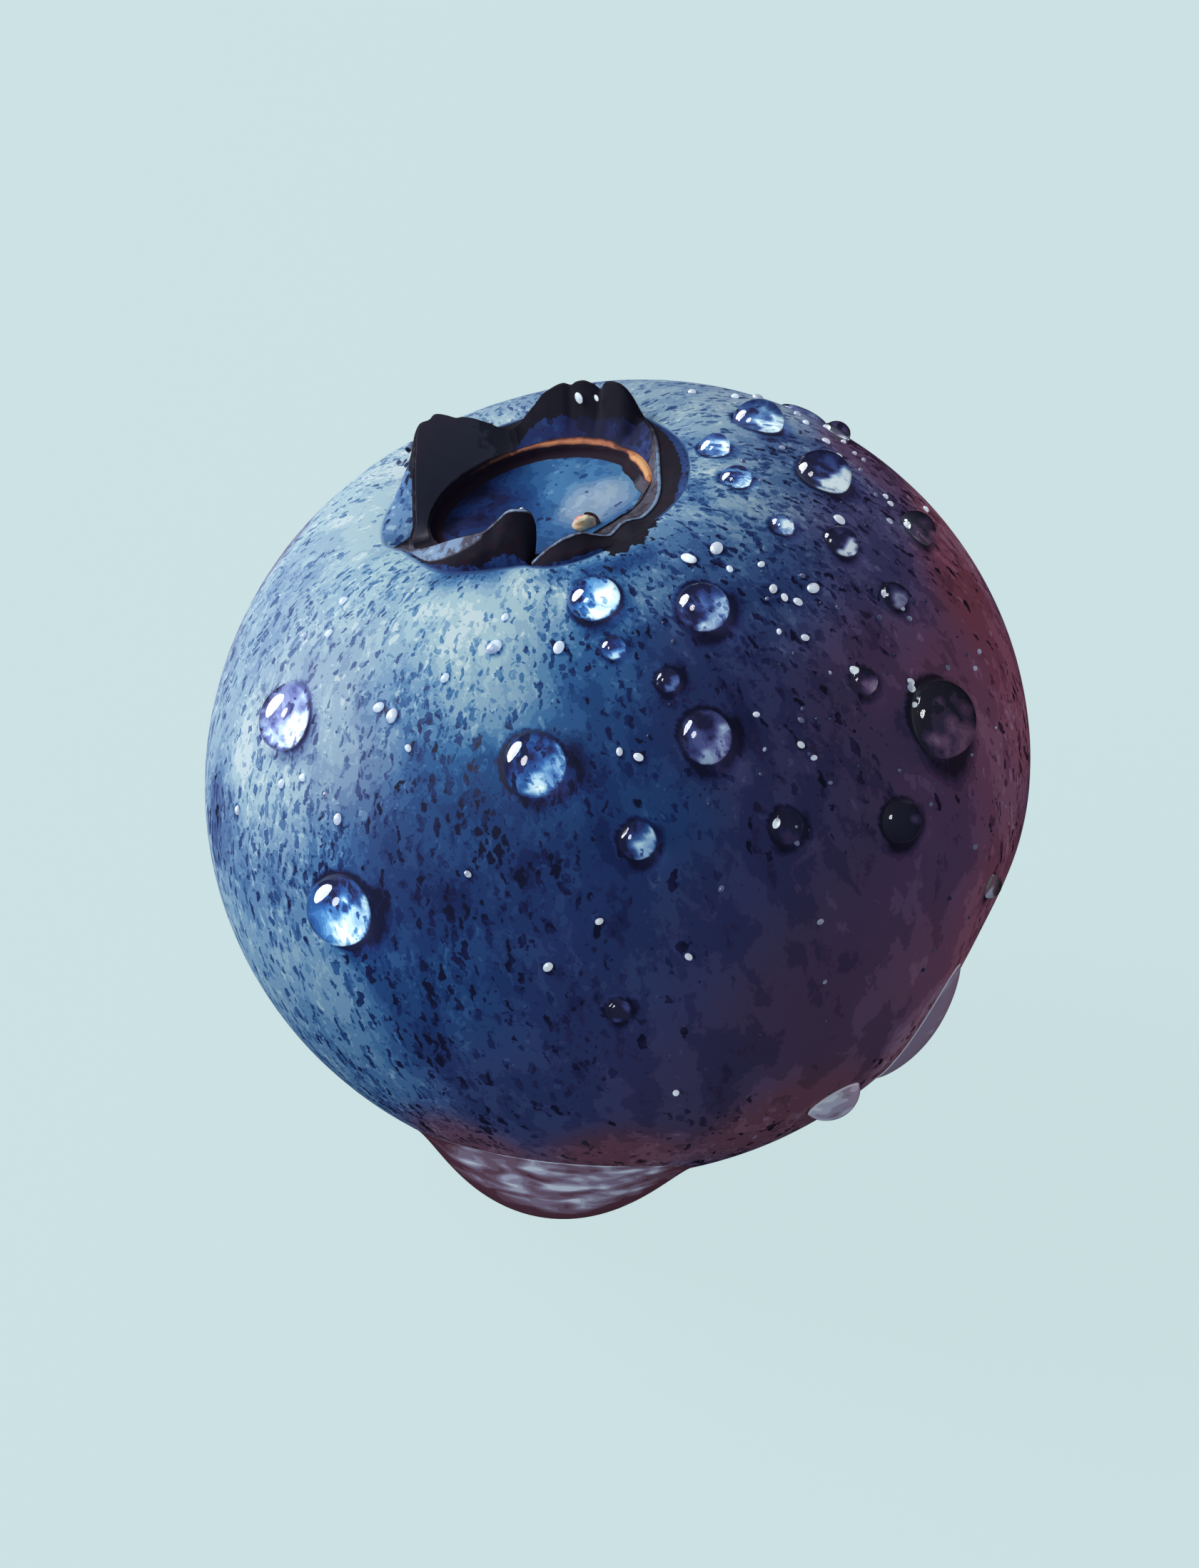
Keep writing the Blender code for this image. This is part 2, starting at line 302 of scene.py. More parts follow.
# The dried sepals' edge: angle round the axis from the front to the right, height over the
# ring, distance from the axis, swing sideways in degrees, and distance of the foot
crownEdge = (
    (1, 0.14, 2.50, 0, 2.62), (6, 0.27, 2.50, 0, 2.76), (10, 0.36, 2.50, 0, 2.84),
    (17, 0.44, 2.50, 0, 2.92), (25, 0.40, 2.50, 0, 2.96), (31, 0.21, 2.50, 0, 2.98),
    (37, 0.06, 2.50, 0, 3.00), (43, 0.14, 2.52, 0, 3.03), (48, 0.10, 2.54, 0, 3.06),
    (54, -0.02, 2.56, 0, 3.10), (64, -0.04, 2.58, 0, 3.14), (74, 0.00, 2.53, 0, 3.14),
    (84, 0.06, 2.46, 0, 3.10), (94, 0.14, 2.46, 0, 3.04), (104, 0.20, 2.52, 0, 2.98),
    (112, 0.24, 2.60, 0, 2.92), (121, 0.26, 2.68, 0, 2.86), (126, 0.28, 2.72, 0, 2.84),
    (129, 0.62, 2.72, 0, 2.84), (132, 0.82, 2.72, 0, 2.84), (136, 0.90, 2.72, 0, 2.84),
    (142.5, 0.86, 2.72, 0, 2.84), (146, 0.66, 2.72, 0, 2.84), (149, 0.76, 2.72, 0, 2.84),
    (153, 0.84, 2.72, 0, 2.84), (157, 0.81, 2.72, 0, 2.84), (159.5, 0.74, 2.72, 0, 2.84),
    (163, 0.79, 2.72, 0, 2.84), (171.5, 0.63, 2.70, 0, 2.84), (176, 0.44, 2.66, 0, 2.84),
    (184, 0.19, 2.56, 0, 2.80), (190, 0.19, 2.42, 0, 2.78), (197, 0.50, 2.36, 0, 2.76),
    (206, 0.81, 2.35, 0, 2.76), (211, 0.91, 2.35, 0, 2.76), (215.5, 1.08, 2.35, 0, 2.76),
    (220.5, 1.22, 2.35, 0, 2.74), (224, 1.19, 2.35, 0, 2.72), (230, 1.25, 2.35, 0, 2.70),
    (235.5, 1.14, 2.34, 0, 2.70), (240, 1.06, 2.26, 0, 2.72), (245, 0.96, 2.20, 0, 2.74),
    (250, 0.85, 2.16, 0, 2.76), (260, 0.48, 2.16, 0, 2.82), (268, 0.30, 2.17, 0, 2.86),
    (276, 0.14, 2.22, 0, 2.88), (282, 0.02, 2.36, 0, 2.86), (287, -0.06, 2.40, 0, 2.76),
    (292, 0.02, 2.38, 0, 2.60), (300, 0.14, 2.26, 0, 2.56), (307, 0.28, 2.22, 0, 2.58),
    (317, 0.44, 2.15, 0, 2.62), (327, 0.58, 2.14, 0, 2.60), (333, 0.64, 2.13, 0, 2.56),
    (338, 0.69, 2.10, 1, 2.52), (342, 0.80, 1.99, 3, 2.48), (347, 1.00, 1.94, 7, 2.46),
    (351, 0.99, 1.94, 9.5, 2.46), (354, 0.90, 1.95, 11.5, 2.46), (356.2, 0.68, 1.97, 11, 2.48),
    (357.6, 0.30, 2.02, 7, 2.50), (359, -0.08, 2.20, 1, 2.54),
)  # fmt: skip
# The scar ring where the petals fell off: angle, distance from the axis, how bright its cork is; the
# brightness is painted light, bright on the lit right and dark in the shade at the left
scarRing = (
    (0, 2.10, 0.0), (40, 2.16, 0.0), (62, 2.26, 0.0), (78, 2.34, 0.20), (88, 2.33, 0.9),
    (96, 2.29, 1.0), (106, 2.24, 1.0), (114, 2.19, 0.80), (121, 2.16, 0.38), (128, 2.13, 0.36),
    (136, 2.12, 0.60), (152, 2.10, 0.66), (172, 2.08, 0.60), (188, 2.06, 0.46), (203, 2.03, 0.30),
    (216, 2.01, 0.14), (232, 2.0, 0.0), (270, 2.02, 0.0), (320, 2.04, 0.0),
)  # fmt: skip
# The rows over the scar's cork: share, how far in for each mm of its width, and how high in mm
scarRows = (
    (0.0, 0.00, 0.00), (0.3, 0.018, 0.022), (0.5, 0.044, 0.022), (0.8, 0.074, -0.008),
    (1.0, 0.098, -0.05), (1.0, 0.112, -0.075),
)  # fmt: skip
# The first rows of the bowl, close together down its wall, as shares of the way to its middle
wallRows = (0.0, 0.012, 0.024, 0.036, 0.048, 0.06, 0.07, 0.09, 0.12, 0.155, 0.19)
# How the sepals dried, with painted light and shade: angle; outside, the share of the height where
# black tissue starts, where it turns pale again and how pale; inside, where black starts and how
# pale it is; and how pale the torn edge is. On the front-left sepal's outside the pale lip is
# painted light and the black under it is partly painted shade
sepalDryingAndShade = (
    (0, 0.15, 1.3, 0.1, 0.0, 0.2, 0.66), (20, 0.15, 1.3, 0.1, 0.0, 0.2, 0.66),
    (50, 0.20, 1.3, 0.1, 0.0, 0.45, 0.70), (66, 0.35, 1.3, 0.1, 0.0, 0.52, 0.72),
    (96, 0.40, 1.3, 0.1, 0.0, 0.52, 0.66), (108, 0.50, 1.3, 0.1, 0.8, 0.3, 0.40),
    (118, 0.70, 1.3, 0.1, 1.4, 0.1, 0.20), (127, 0.60, 1.3, 0.1, 0.60, 0.12, 0.12),
    (136, 0.30, 1.3, 0.1, 0.40, 0.12, 0.12), (160, 0.30, 1.3, 0.1, 0.38, 0.12, 0.12),
    (182, 0.30, 1.3, 0.1, 0.50, 0.12, 0.12), (192, 0.30, 1.3, 0.1, 0.0, 0.42, 0.16),
    (232, 0.55, 1.3, 0.1, 0.0, 0.53, 0.18), (255, 0.97, 1.3, 0.1, 0.0, 0.53, 0.24),
    (280, 0.97, 1.3, 0.1, 0.0, 0.53, 0.24), (287, 0.00, 0.05, 0.70, 0.0, 0.1, 0.50),
    (304, 0.00, 0.10, 0.70, 0.0, 0.1, 0.64), (317, 0.12, 0.38, 0.66, 0.0, 0.1, 0.66),
    (328, 0.15, 0.62, 0.62, 0.0, 0.1, 0.60), (337, 0.15, 0.88, 0.56, 0.0, 0.1, 0.52),
    (343, 0.15, 1.3, 0.1, 0.0, 0.1, 0.56), (349, 0.15, 1.3, 0.1, 0.0, 0.1, 0.76),
    (356, 0.15, 1.3, 0.1, 0.0, 0.1, 0.50),
)  # fmt: skip
skinMesh = {"columns": 400, "rings": 160, "relief": 0.006 * mm}
zones = {"skin": 0, "outside": 1, "edge": 2, "inside": 3, "scar": 4, "bowl": 5}


def ringPoint(around, radius, up):
    return Vector((math.sin(around) * radius, -math.cos(around) * radius, up))


def crinkled(place, amount, scale=1.0):
    # dried tissue: a point pushed about by two sizes of wrinkle
    coarse = noise.noise_vector(place / mm * 1.6 * scale)
    fine = noise.noise_vector(place / mm * 4.5 * scale)
    return place + (coarse + fine * 0.45) * amount


def crownRows():
    # each row: zone, share, and the function, with its measures, that places a point at an angle
    height = crownRing["height"]
    thick = crownRing["edgeThickness"]
    footLevel = height + crownRing["footRise"]
    wall = crownRing["bowlWall"]

    def edgeAt(around):
        up, radius, swing, foot = along(crownEdge, math.degrees(around))
        return height + up * mm, radius * mm, math.radians(swing), foot * mm

    def footAt(around, foot):
        towards = directionAt(around, math.atan2(foot, footLevel))
        place = towards * skinRadius(towards)
        return math.hypot(place.x, place.y), place.z

    def scarAt(around):
        # the scar ring's radius, and how wide its cork is, which is uneven
        radius, bright = along(scarRing, math.degrees(around))
        uneven = 1 + 0.2 * noise.noise((around * 5, 0, 0))
        return radius * mm, (0.62 + 0.95 * smooth(0.5, 1.0, bright)) * uneven * mm

    def backDrop(around):
        return crownRing["backDrop"] * (1 - math.cos(around)) / 2

    def nearing(around, share):
        start = crownRing["skinEndsDown"]
        end = math.atan2(edgeAt(around)[3], footLevel)
        return skinPlace(directionAt(around, start + (end - start) * share))

    def outside(around, share):
        up, radius, swing, foot = edgeAt(around)
        footRadius, footUp = footAt(around, foot)
        edgeRadius, edgeUp = radius + thick, up - thick * 0.4
        place = ringPoint(
            around + swing * share,
            footRadius + (edgeRadius - footRadius) * share**1.35,
            footUp + (edgeUp - footUp) * share**0.85,
        )
        return crinkled(place, crownRing["wrinkle"] * math.sin(math.pi * share**0.7))

    def edge(around, turn):
        up, radius, swing, _ = edgeAt(around)
        out = radius + thick * (1 + math.cos(turn)) / 2
        return ringPoint(around + swing, out, up - thick * 0.4 + math.sin(turn) * thick * 0.4)

    def inside(around, share):
        up, radius, swing, _ = edgeAt(around)
        scar = along(scarRing, math.degrees(around))[0] * mm
        lowest = min(0, up - height)
        place = ringPoint(
            around + swing * share,
            scar + (radius - scar) * share**0.8,
            height + lowest + (up - height - lowest) * share - backDrop(around) * (1 - share),
        )
        return crinkled(place, crownRing["wrinkle"] * 0.6 * math.sin(math.pi * share), 1.3)

    def scar(around, inwards, over):
        radius, wide = scarAt(around)
        up = along(crownEdge, math.degrees(around))[0] * mm
        level = height + min(0, up) + over * mm - backDrop(around)
        return crinkled(ringPoint(around, radius - inwards * wide, level), 0.016 * mm, 2.5)

    def bowl(around, share):
        # a steep wall that rounds into a shallow, slightly lumpy floor
        radius, wide = scarAt(around)
        rim = radius - 0.125 * wide
        depth = crownRing["bowlDepth"] * math.sin(math.pi / 2 * min(1, share / wall)) ** 1.5
        depth += crownRing["bowlHollow"] * smooth(0.06, 1, share)
        inwards = share if share > wall else wall * (share / wall) ** 2.2
        low = height - crownRing["bowlRim"] - backDrop(around) * (1 - smooth(wall, 0.6, share))
        place = ringPoint(around, rim * (1 - inwards), low - depth)
        place.z += noise.noise(place / mm * 2.2) * crownRing["bowlLumps"] * smooth(0.08, 0.25, share)
        return place

    near, outer, inner, floor = (
        crownRing[name] for name in ("footRows", "outerRows", "innerRows", "bowlRows")
    )
    rows = [("skin", 0, nearing, (i / near,)) for i in range(near)]
    rows += [("outside", i / outer, outside, (i / outer,)) for i in range(outer + 1)]
    rows += [("edge", 1, edge, (math.pi * i / 4,)) for i in (1, 2, 3)]
    rows += [("inside", 1 - i / inner, inside, (1 - i / inner,)) for i in range(inner)]
    rows += [("scar", share, scar, (inwards, over)) for share, inwards, over in scarRows]
    floorRows = tuple(wallRows[-1] + 0.79 * i / floor for i in range(1, floor + 1))
    rows += [("bowl", share, bowl, (share,)) for share in wallRows + floorRows]
    return rows


def skinPlace(direction):
    # the skin's own fine relief only sinks below the solid's surface
    place = direction * skinRadius(direction)
    relief = 0.5 + 0.5 * noise.noise(place / mm * 1.3)
    return place - direction * relief * skinMesh["relief"]


def stemScarSink(direction):
    # the round scar that the stem left underneath, inside a low rim
    out = math.acos(max(-1, min(1, -direction.z))) * grown["poleRadius"] / mm
    sunk = 0.22 * (1 - smooth(0.62, 0.80, out)) - 0.05 * math.exp(-(((out - 0.92) / 0.12) ** 2))
    return sunk * mm


def refineUnderBeads(berry):
    # the wet rings and the painted light and shade under beads need a closer mesh than the rest of the skin
    bm = bmesh.from_edit_mesh(berry.data)
    marks = [
        (middle, math.cos((1.5 * half + 0.08 * mm) / grown["equatorRadius"]))
        for middle, half, *_ in allBeads + smallWithPaintedLight
    ]
    keptRim = math.cos(crownRing["skinEndsDown"] + math.radians(2.5))
    bpy.ops.mesh.select_mode(type="FACE")
    bpy.ops.mesh.select_all(action="DESELECT")
    for face in bm.faces:
        towards = face.calc_center_median().normalized()
        face.select = towards.z < keptRim and any(towards.dot(middle) > near for middle, near in marks)
    coarse = len(bm.verts)
    bmesh.update_edit_mesh(berry.data)
    bpy.ops.mesh.subdivide(number_cuts=1)
    bpy.ops.mesh.select_mode(type="VERT")
    bpy.ops.mesh.select_all(action="DESELECT")
    bm = bmesh.from_edit_mesh(berry.data)
    bm.verts.ensure_lookup_table()
    for vert in bm.verts[coarse:]:
        vert.co = skinPlace(vert.co.normalized())
    bmesh.update_edit_mesh(berry.data)


def makeBerryShape():
    clearPick()
    bpy.ops.mesh.primitive_uv_sphere_add(
        segments=skinMesh["columns"], ring_count=skinMesh["rings"], radius=grown["equatorRadius"]
    )
    berry = startPiece("ripeBlueberry")
    bm = bmesh.from_edit_mesh(berry.data)
    bm.verts.layers.float.new("around")
    bm.verts.layers.int.new("zone")
    bm.verts.layers.float.new("share")
    keptDown = crownRing["skinEndsDown"] + math.radians(0.2)
    for vert in bm.verts:
        towards = vert.co.normalized()
        vert.select = math.acos(max(-1, min(1, towards.z))) < keptDown
    bm.select_flush_mode()
    bpy.ops.mesh.delete(type="VERT")
    bm = bmesh.from_edit_mesh(berry.data)
    aroundLayer = bm.verts.layers.float["around"]
    for vert in bm.verts:
        towards = vert.co.normalized()
        vert[aroundLayer] = math.atan2(towards.x, -towards.y)
        vert.co = skinPlace(towards) - towards * stemScarSink(towards)
    refineUnderBeads(berry)
    bm = bmesh.from_edit_mesh(berry.data)
    for edge in bm.edges:
        edge.select = edge.is_boundary
    bmesh.update_edit_mesh(berry.data)
    for zone, share, place, measures in crownRows():
        bpy.ops.mesh.extrude_region_move()
        bm = bmesh.from_edit_mesh(berry.data)
        aroundLayer = bm.verts.layers.float["around"]
        zoneLayer = bm.verts.layers.int["zone"]
        shareLayer = bm.verts.layers.float["share"]
        for vert in bm.verts:
            if vert.select:
                vert[zoneLayer], vert[shareLayer] = zones[zone], share
                vert.co = place(vert[aroundLayer], *measures)
    bmesh.update_edit_mesh(berry.data)
    bpy.ops.mesh.merge(type="CENTER")
    bm = bmesh.from_edit_mesh(berry.data)
    bmesh.ops.transform(bm, matrix=placed, verts=bm.verts)
    bmesh.update_edit_mesh(berry.data)
    bpy.ops.mesh.select_all(action="SELECT")
    bpy.ops.mesh.bisect(
        plane_co=(0, 0, 0), plane_no=(0, 0, 1), clear_inner=True, use_fill=True, threshold=1e-7
    )
    bpy.ops.mesh.select_all(action="SELECT")
    bpy.ops.mesh.normals_make_consistent(inside=False)
    bpy.ops.object.mode_set(mode="OBJECT")
    bpy.ops.object.shade_smooth_by_angle(angle=math.radians(60))
    return berry


# Beads of water as the front view has them: right, up and width in mm, length as a share of the
# width, turn in degrees, how much painted light they gather on the skin under them and how much
# painted shade darkens the rest of that skin
beads = (
    (-0.45, 3.25, 1.10, 0.95, 20, 0.26, 0.12), (1.55, 3.10, 1.10, 1.0, 0, 0.44, 0.08),
    (-1.55, 0.20, 1.25, 1.1, 15, 0.40, 0.05), (1.60, 0.70, 1.05, 1.05, 0, 0.34, -0.02),
    (0.35, -1.20, 0.75, 1.0, 0, 0.44, 0.06), (2.65, 6.70, 1.05, 0.92, 60, 0.80, 0.30),
    (3.85, 5.65, 1.15, 1.05, 40, 0.90, 0.34), (1.80, 6.15, 0.70, 0.9, 30, 0.60, 0.25),
    (2.20, 5.55, 0.65, 1.0, 0, 0.70, 0.25), (5.65, 4.65, 0.80, 1.0, 0, 0.36, 0.30),
    (-6.15, 1.10, 1.30, 1.12, 0, 0.36, 0.10), (-5.15, -2.50, 1.50, 0.95, 30, 0.46, 0.10),
    (3.10, -0.95, 0.70, 1.0, 0, 0.10, 0.45), (5.25, -0.85, 0.90, 1.0, 0, 0.05, 0.40),
    (6.00, 1.05, 1.60, 1.0, 0, 0.08, 0.24), (4.55, 1.75, 0.60, 1.0, 0, 0.30, 0.36),
    (7.05, -2.10, 0.50, 1.0, 0, 0.60, 0.10), (4.20, 6.55, 0.55, 1.0, 0, 0.75, 0.0),
    (4.15, 4.35, 0.70, 1.15, 30, 0.80, 0.30), (3.05, 4.65, 0.55, 0.85, 70, 0.70, 0.36),
    (5.15, 3.35, 0.60, 1.0, 0, 0.50, 0.26), (0.90, 1.75, 0.50, 1.0, 0, 0.40, 0.30),
    (-0.10, 2.35, 0.50, 1.0, 0, 0.50, 0.10), (0.00, -4.35, 0.50, 1.0, 0, 0.25, 0.30),
)  # fmt: skip
beadShape = {"height": 0.40, "fullness": 0.5, "hidden": 10, "seed": 7, "inSolid": 0.97}


def spreadBeads():
    # each bead's direction, half width, length, turn, gathered light and darkness; the far side's
    # ten lie where the solid's do
    places = [
        (seenAt(right, up), width / 2 * beadShape["inSolid"] * mm, longer, turn, gathered, dark)
        for right, up, width, longer, turn, gathered, dark in beads
    ]
    draw = random.Random(beadShape["seed"])
    for i in range(beadShape["hidden"]):
        around = 128 + 108 * (i + 0.5) / beadShape["hidden"] + draw.uniform(-5, 5)
        down = (62, 104, 83)[i % 3] + draw.uniform(-8, 8)
        middle = directionAt(math.radians(around), math.radians(down))
        half = draw.uniform(0.6, 1.25) / 2 * beadShape["inSolid"] * mm
        places.append((middle, half, 1.0, 0, 0.3, 0.05))
    return places


allBeads = spreadBeads()
# The smaller beads: right, up and width in mm
smallBeads = (
    (-4.45, 1.26, 0.22), (1.34, 4.01, 0.22), (-1.10, 2.36, 0.24), (-5.15, 3.27, 0.17), (-5.41, 2.66, 0.17),
    (-5.89, 2.62, 0.13), (-2.10, 2.93, 0.16), (-3.21, 1.80, 0.18), (-6.30, -0.16, 0.17), (-5.90, -0.05, 0.14),
    (-7.17, -0.66, 0.16), (-5.45, -0.36, 0.13), (-5.22, -0.82, 0.20), (-3.89, 0.50, 0.14), (3.63, 3.48, 0.12),
    (-2.30, 2.37, 0.30), (0.02, 0.43, 0.14), (0.37, 0.33, 0.17), (-2.78, -1.83, 0.13), (1.08, -5.93, 0.14),
    (1.30, -3.36, 0.14), (1.44, 7.43, 0.17), (2.25, 7.26, 0.18), (2.69, 7.25, 0.20), (3.43, 6.91, 0.17),
    (3.58, 6.71, 0.16), (3.45, 6.50, 0.12), (3.10, 6.18, 0.11), (3.95, 6.34, 0.16), (4.30, 6.35, 0.11),
    (4.02, 6.67, 0.16), (4.67, 5.99, 0.11), (4.17, 6.04, 0.16), (4.50, 6.12, 0.11), (4.60, 5.78, 0.11),
    (4.87, 5.29, 0.11), (5.06, 5.27, 0.11), (5.15, 5.13, 0.12), (5.86, 5.06, 0.14), (5.12, 4.79, 0.12),
    (4.15, 4.79, 0.22), (3.43, 3.71, 0.11), (3.63, 3.48, 0.24), (2.88, 3.46, 0.18), (3.09, 3.30, 0.15),
    (3.34, 3.22, 0.17), (2.07, 3.83, 0.14), (1.83, 4.22, 0.28), (1.29, 4.03, 0.24), (2.66, 3.92, 0.14),
    (4.08, 3.13, 0.11), (4.87, 2.94, 0.11), (2.98, 2.66, 0.11), (3.47, 2.55, 0.15), (4.39, 1.94, 0.19),
    (4.77, 1.74, 0.12), (5.46, 1.74, 0.15), (6.81, 2.33, 0.11), (6.72, 2.01, 0.11), (6.18, 2.02, 0.11),
    (3.38, 1.02, 0.12), (3.38, 0.56, 0.14), (2.55, 1.12, 0.12), (3.62, 0.32, 0.12), (-4.20, 1.10, 0.26),
    (2.94, -0.90, 0.15), (3.30, -1.25, 0.12), (5.47, 1.62, 0.17), (5.55, 1.30, 0.12), (4.97, 3.39, 0.14),
    (5.32, 3.12, 0.10), (5.45, 2.93, 0.11), (5.47, 4.72, 0.16), (4.31, 6.81, 0.13), (4.05, 6.72, 0.13),
    (-1.30, -3.55, 0.18), (-0.35, -2.70, 0.14), (3.75, -2.72, 0.12), (6.70, -1.35, 0.12), (1.90, -2.10, 0.12),
)  # fmt: skip
smallWithPaintedLight = [  # those wide enough for a wet ring and painted light and shade on the skin under them
    (seenAt(right, up), width / 2 * mm, 1.0, 0, 0.20, 0.1)
    for right, up, width in smallBeads
    if width > 0.125
]

# Wax bloom and painted light, as the front view has it: millimetres right and up of the middle,
# spread in degrees, how thick the wax lies and how far the skin blushes there. The wax is laid
# thicker on the lit upper left and thinner on the shaded right and below, so it is partly
# painted light and shade
waxAndPaintedLightPatches = (
    (-5.0, 5.2, 14, 0.94, 0.10), (-3.3, 2.9, 8, 1.00, 0.00), (-4.6, 3.6, 8, 0.85, 0.00),
    (-6.1, 3.7, 8, 0.68, 0.15), (-7.4, 3.0, 8, 0.78, 0.20), (-1.8, 3.2, 7, 0.98, 0.02),
    (-0.2, 3.8, 7, 0.94, 0.00), (1.9, 5.4, 9, 0.86, 0.06), (1.6, 7.0, 9, 0.80, 0.10),
    (3.3, 5.8, 7, 0.44, 0.14), (4.9, 5.9, 5, 0.36, 0.60), (1.3, 3.9, 7, 0.42, 0.08),
    (2.9, 3.5, 9, 0.38, 0.10), (4.7, 4.4, 10, 0.36, 0.35), (6.4, 3.6, 7, 0.42, 1.00),
    (6.2, 4.8, 5, 0.58, 0.95), (7.5, 1.5, 7, 0.48, 0.92), (-5.4, 2.2, 9, 0.80, 0.22),
    (-2.4, 1.9, 8, 0.92, 0.00), (-3.9, 1.6, 6, 0.60, 0.03), (-0.5, 2.0, 9, 0.34, 0.00),
    (2.0, 1.9, 10, 0.17, 0.24), (4.6, 1.6, 12, 0.28, 0.65), (6.3, 1.5, 8, 0.36, 0.82),
    (-6.6, -0.4, 8, 0.98, 0.10), (-5.0, 0.1, 7, 0.78, 0.20), (-3.0, -0.4, 9, 0.35, 0.00),
    (-7.5, -0.8, 4, 0.42, 0.15), (-6.2, 1.1, 5, 0.90, 0.36), (-0.4, -0.4, 9, 0.20, 0.05),
    (1.1, -0.9, 6, 0.36, 0.00), (3.2, -0.1, 12, 0.22, 0.42), (5.9, -0.9, 10, 0.29, 0.64),
    (7.1, 0.0, 6, 0.48, 0.82), (-6.6, -1.9, 9, 0.54, 0.08), (-4.0, -2.0, 9, 0.13, 0.10),
    (-5.2, -1.5, 5, 0.48, 0.02), (-5.2, -2.9, 5, 0.68, 0.00), (-1.0, -2.3, 11, 0.20, 0.10),
    (2.0, -2.2, 11, 0.22, 0.30), (4.6, -2.2, 12, 0.28, 0.62), (7.0, -2.4, 8, 0.48, 0.92),
    (-6.0, -4.0, 11, 0.78, 0.00), (-3.2, -4.1, 11, 0.28, 0.03), (0.0, -4.0, 12, 0.20, 0.28),
    (3.6, -4.0, 13, 0.28, 0.74), (6.0, -4.6, 8, 0.60, 0.98), (5.6, -3.4, 7, 0.46, 0.80),
    (-5.0, -5.5, 10, 0.48, 0.05), (-1.8, -5.8, 10, 0.21, 0.26), (1.4, -5.6, 10, 0.23, 0.50),
    (-3.0, -6.9, 6, 0.40, 0.90), (0.0, -7.1, 6, 0.40, 1.00), (3.0, -6.4, 8, 0.43, 1.00),
    (-6.7, 4.7, 4, 0.55, 0.60), (-7.15, 4.1, 3, 0.50, 0.55), (-7.75, 2.8, 3, 0.60, 0.50),
)  # fmt: skip
# The skin that the front view doesn't show: its wax and blush, and where each is stronger; the wax thickens
# towards the lamp's side, which is partly painted light
farSide = {"wax": 0.52, "waxTurn": 0.26, "blush": 0.15, "blushBelow": 0.6, "blushRight": 0.4, "hold": 0.02}
# Painted shadows of the sepals on the skin under the crown, laid as thinner wax: right, up, spread, change of
# wax
paintedSepalShadows = (
    (-3.10, 3.74, 4.2, -0.54), (-2.40, 3.82, 4.0, -0.52), (-1.25, 3.74, 2.6, -0.46),
    (-0.60, 3.76, 3.2, -0.58), (0.02, 3.90, 2.8, -0.50), (0.48, 4.10, 2.6, -0.40), (1.3, 5.3, 3.2, -0.32),
    (1.2, 6.2, 2.6, -0.24),
)  # fmt: skip
# Skin before the low front-right sepal coloured as its black husk, partly its dried tissue and partly painted
# shade: right, up, spread
blackTissueAndShadePatches = ((0.30, 4.46, 2.5), (-0.02, 4.28, 2.3), (0.52, 4.72, 1.8))
# Where the wax has fewer grains in it: right, up, spread, change of grains
plainPatches = (
    (-4.4, 4.7, 14, -0.9), (-2.4, 3.3, 10, -0.8), (1.9, 5.0, 6, -0.2), (5.8, -0.6, 32, -0.85),
    (1.0, -1.6, 20, -0.35), (2.4, -5.2, 26, -0.80), (4.8, -5.0, 14, -0.50), (6.4, 2.8, 14, -0.55),
    (6.0, -3.2, 14, -0.40), (-0.5, -6.6, 16, -0.50),
)  # fmt: skip
# where the wax lies thickest: towards the lamp, so partly painted light
waxAndLightSide = Vector((-0.86, -0.08, 0.50)).normalized()
lightFrom = Vector((-0.80, 0.34, 0.50)).normalized()
bowlPaintedLight = Vector((1.15, -0.22, 6.12)) * mm  # the painted pool of light on the bowl's floor


def nearness(towards, right, up, spread):
    # for rows of directions: 1 at this place of the front view, falling off over its spread
    away = np.arccos(np.clip(towards @ np.array(seenAt(right, up)), -1, 1))
    return np.exp(-((away / math.radians(spread)) ** 2))


def ease(low, high, value):
    share = np.clip((value - low) / (high - low), 0, 1)
    return share * share * (3 - 2 * share)


# how strong each part of a bead's wet ring and painted light and shade is
wetAndPaintedBeadLook = {
    "reach": 2.2,  # how far a bead's marks go from its middle, in half widths
    "mottle": 0.42,
    "darkTowardsLamp": 0.22,
    "paintedCrescent": 1.15,
    "contactRing": 0.55,
    "paintedShadow": 0.34,
    "hidden": 0.25,  # how strong the painted marks are on the far side
}


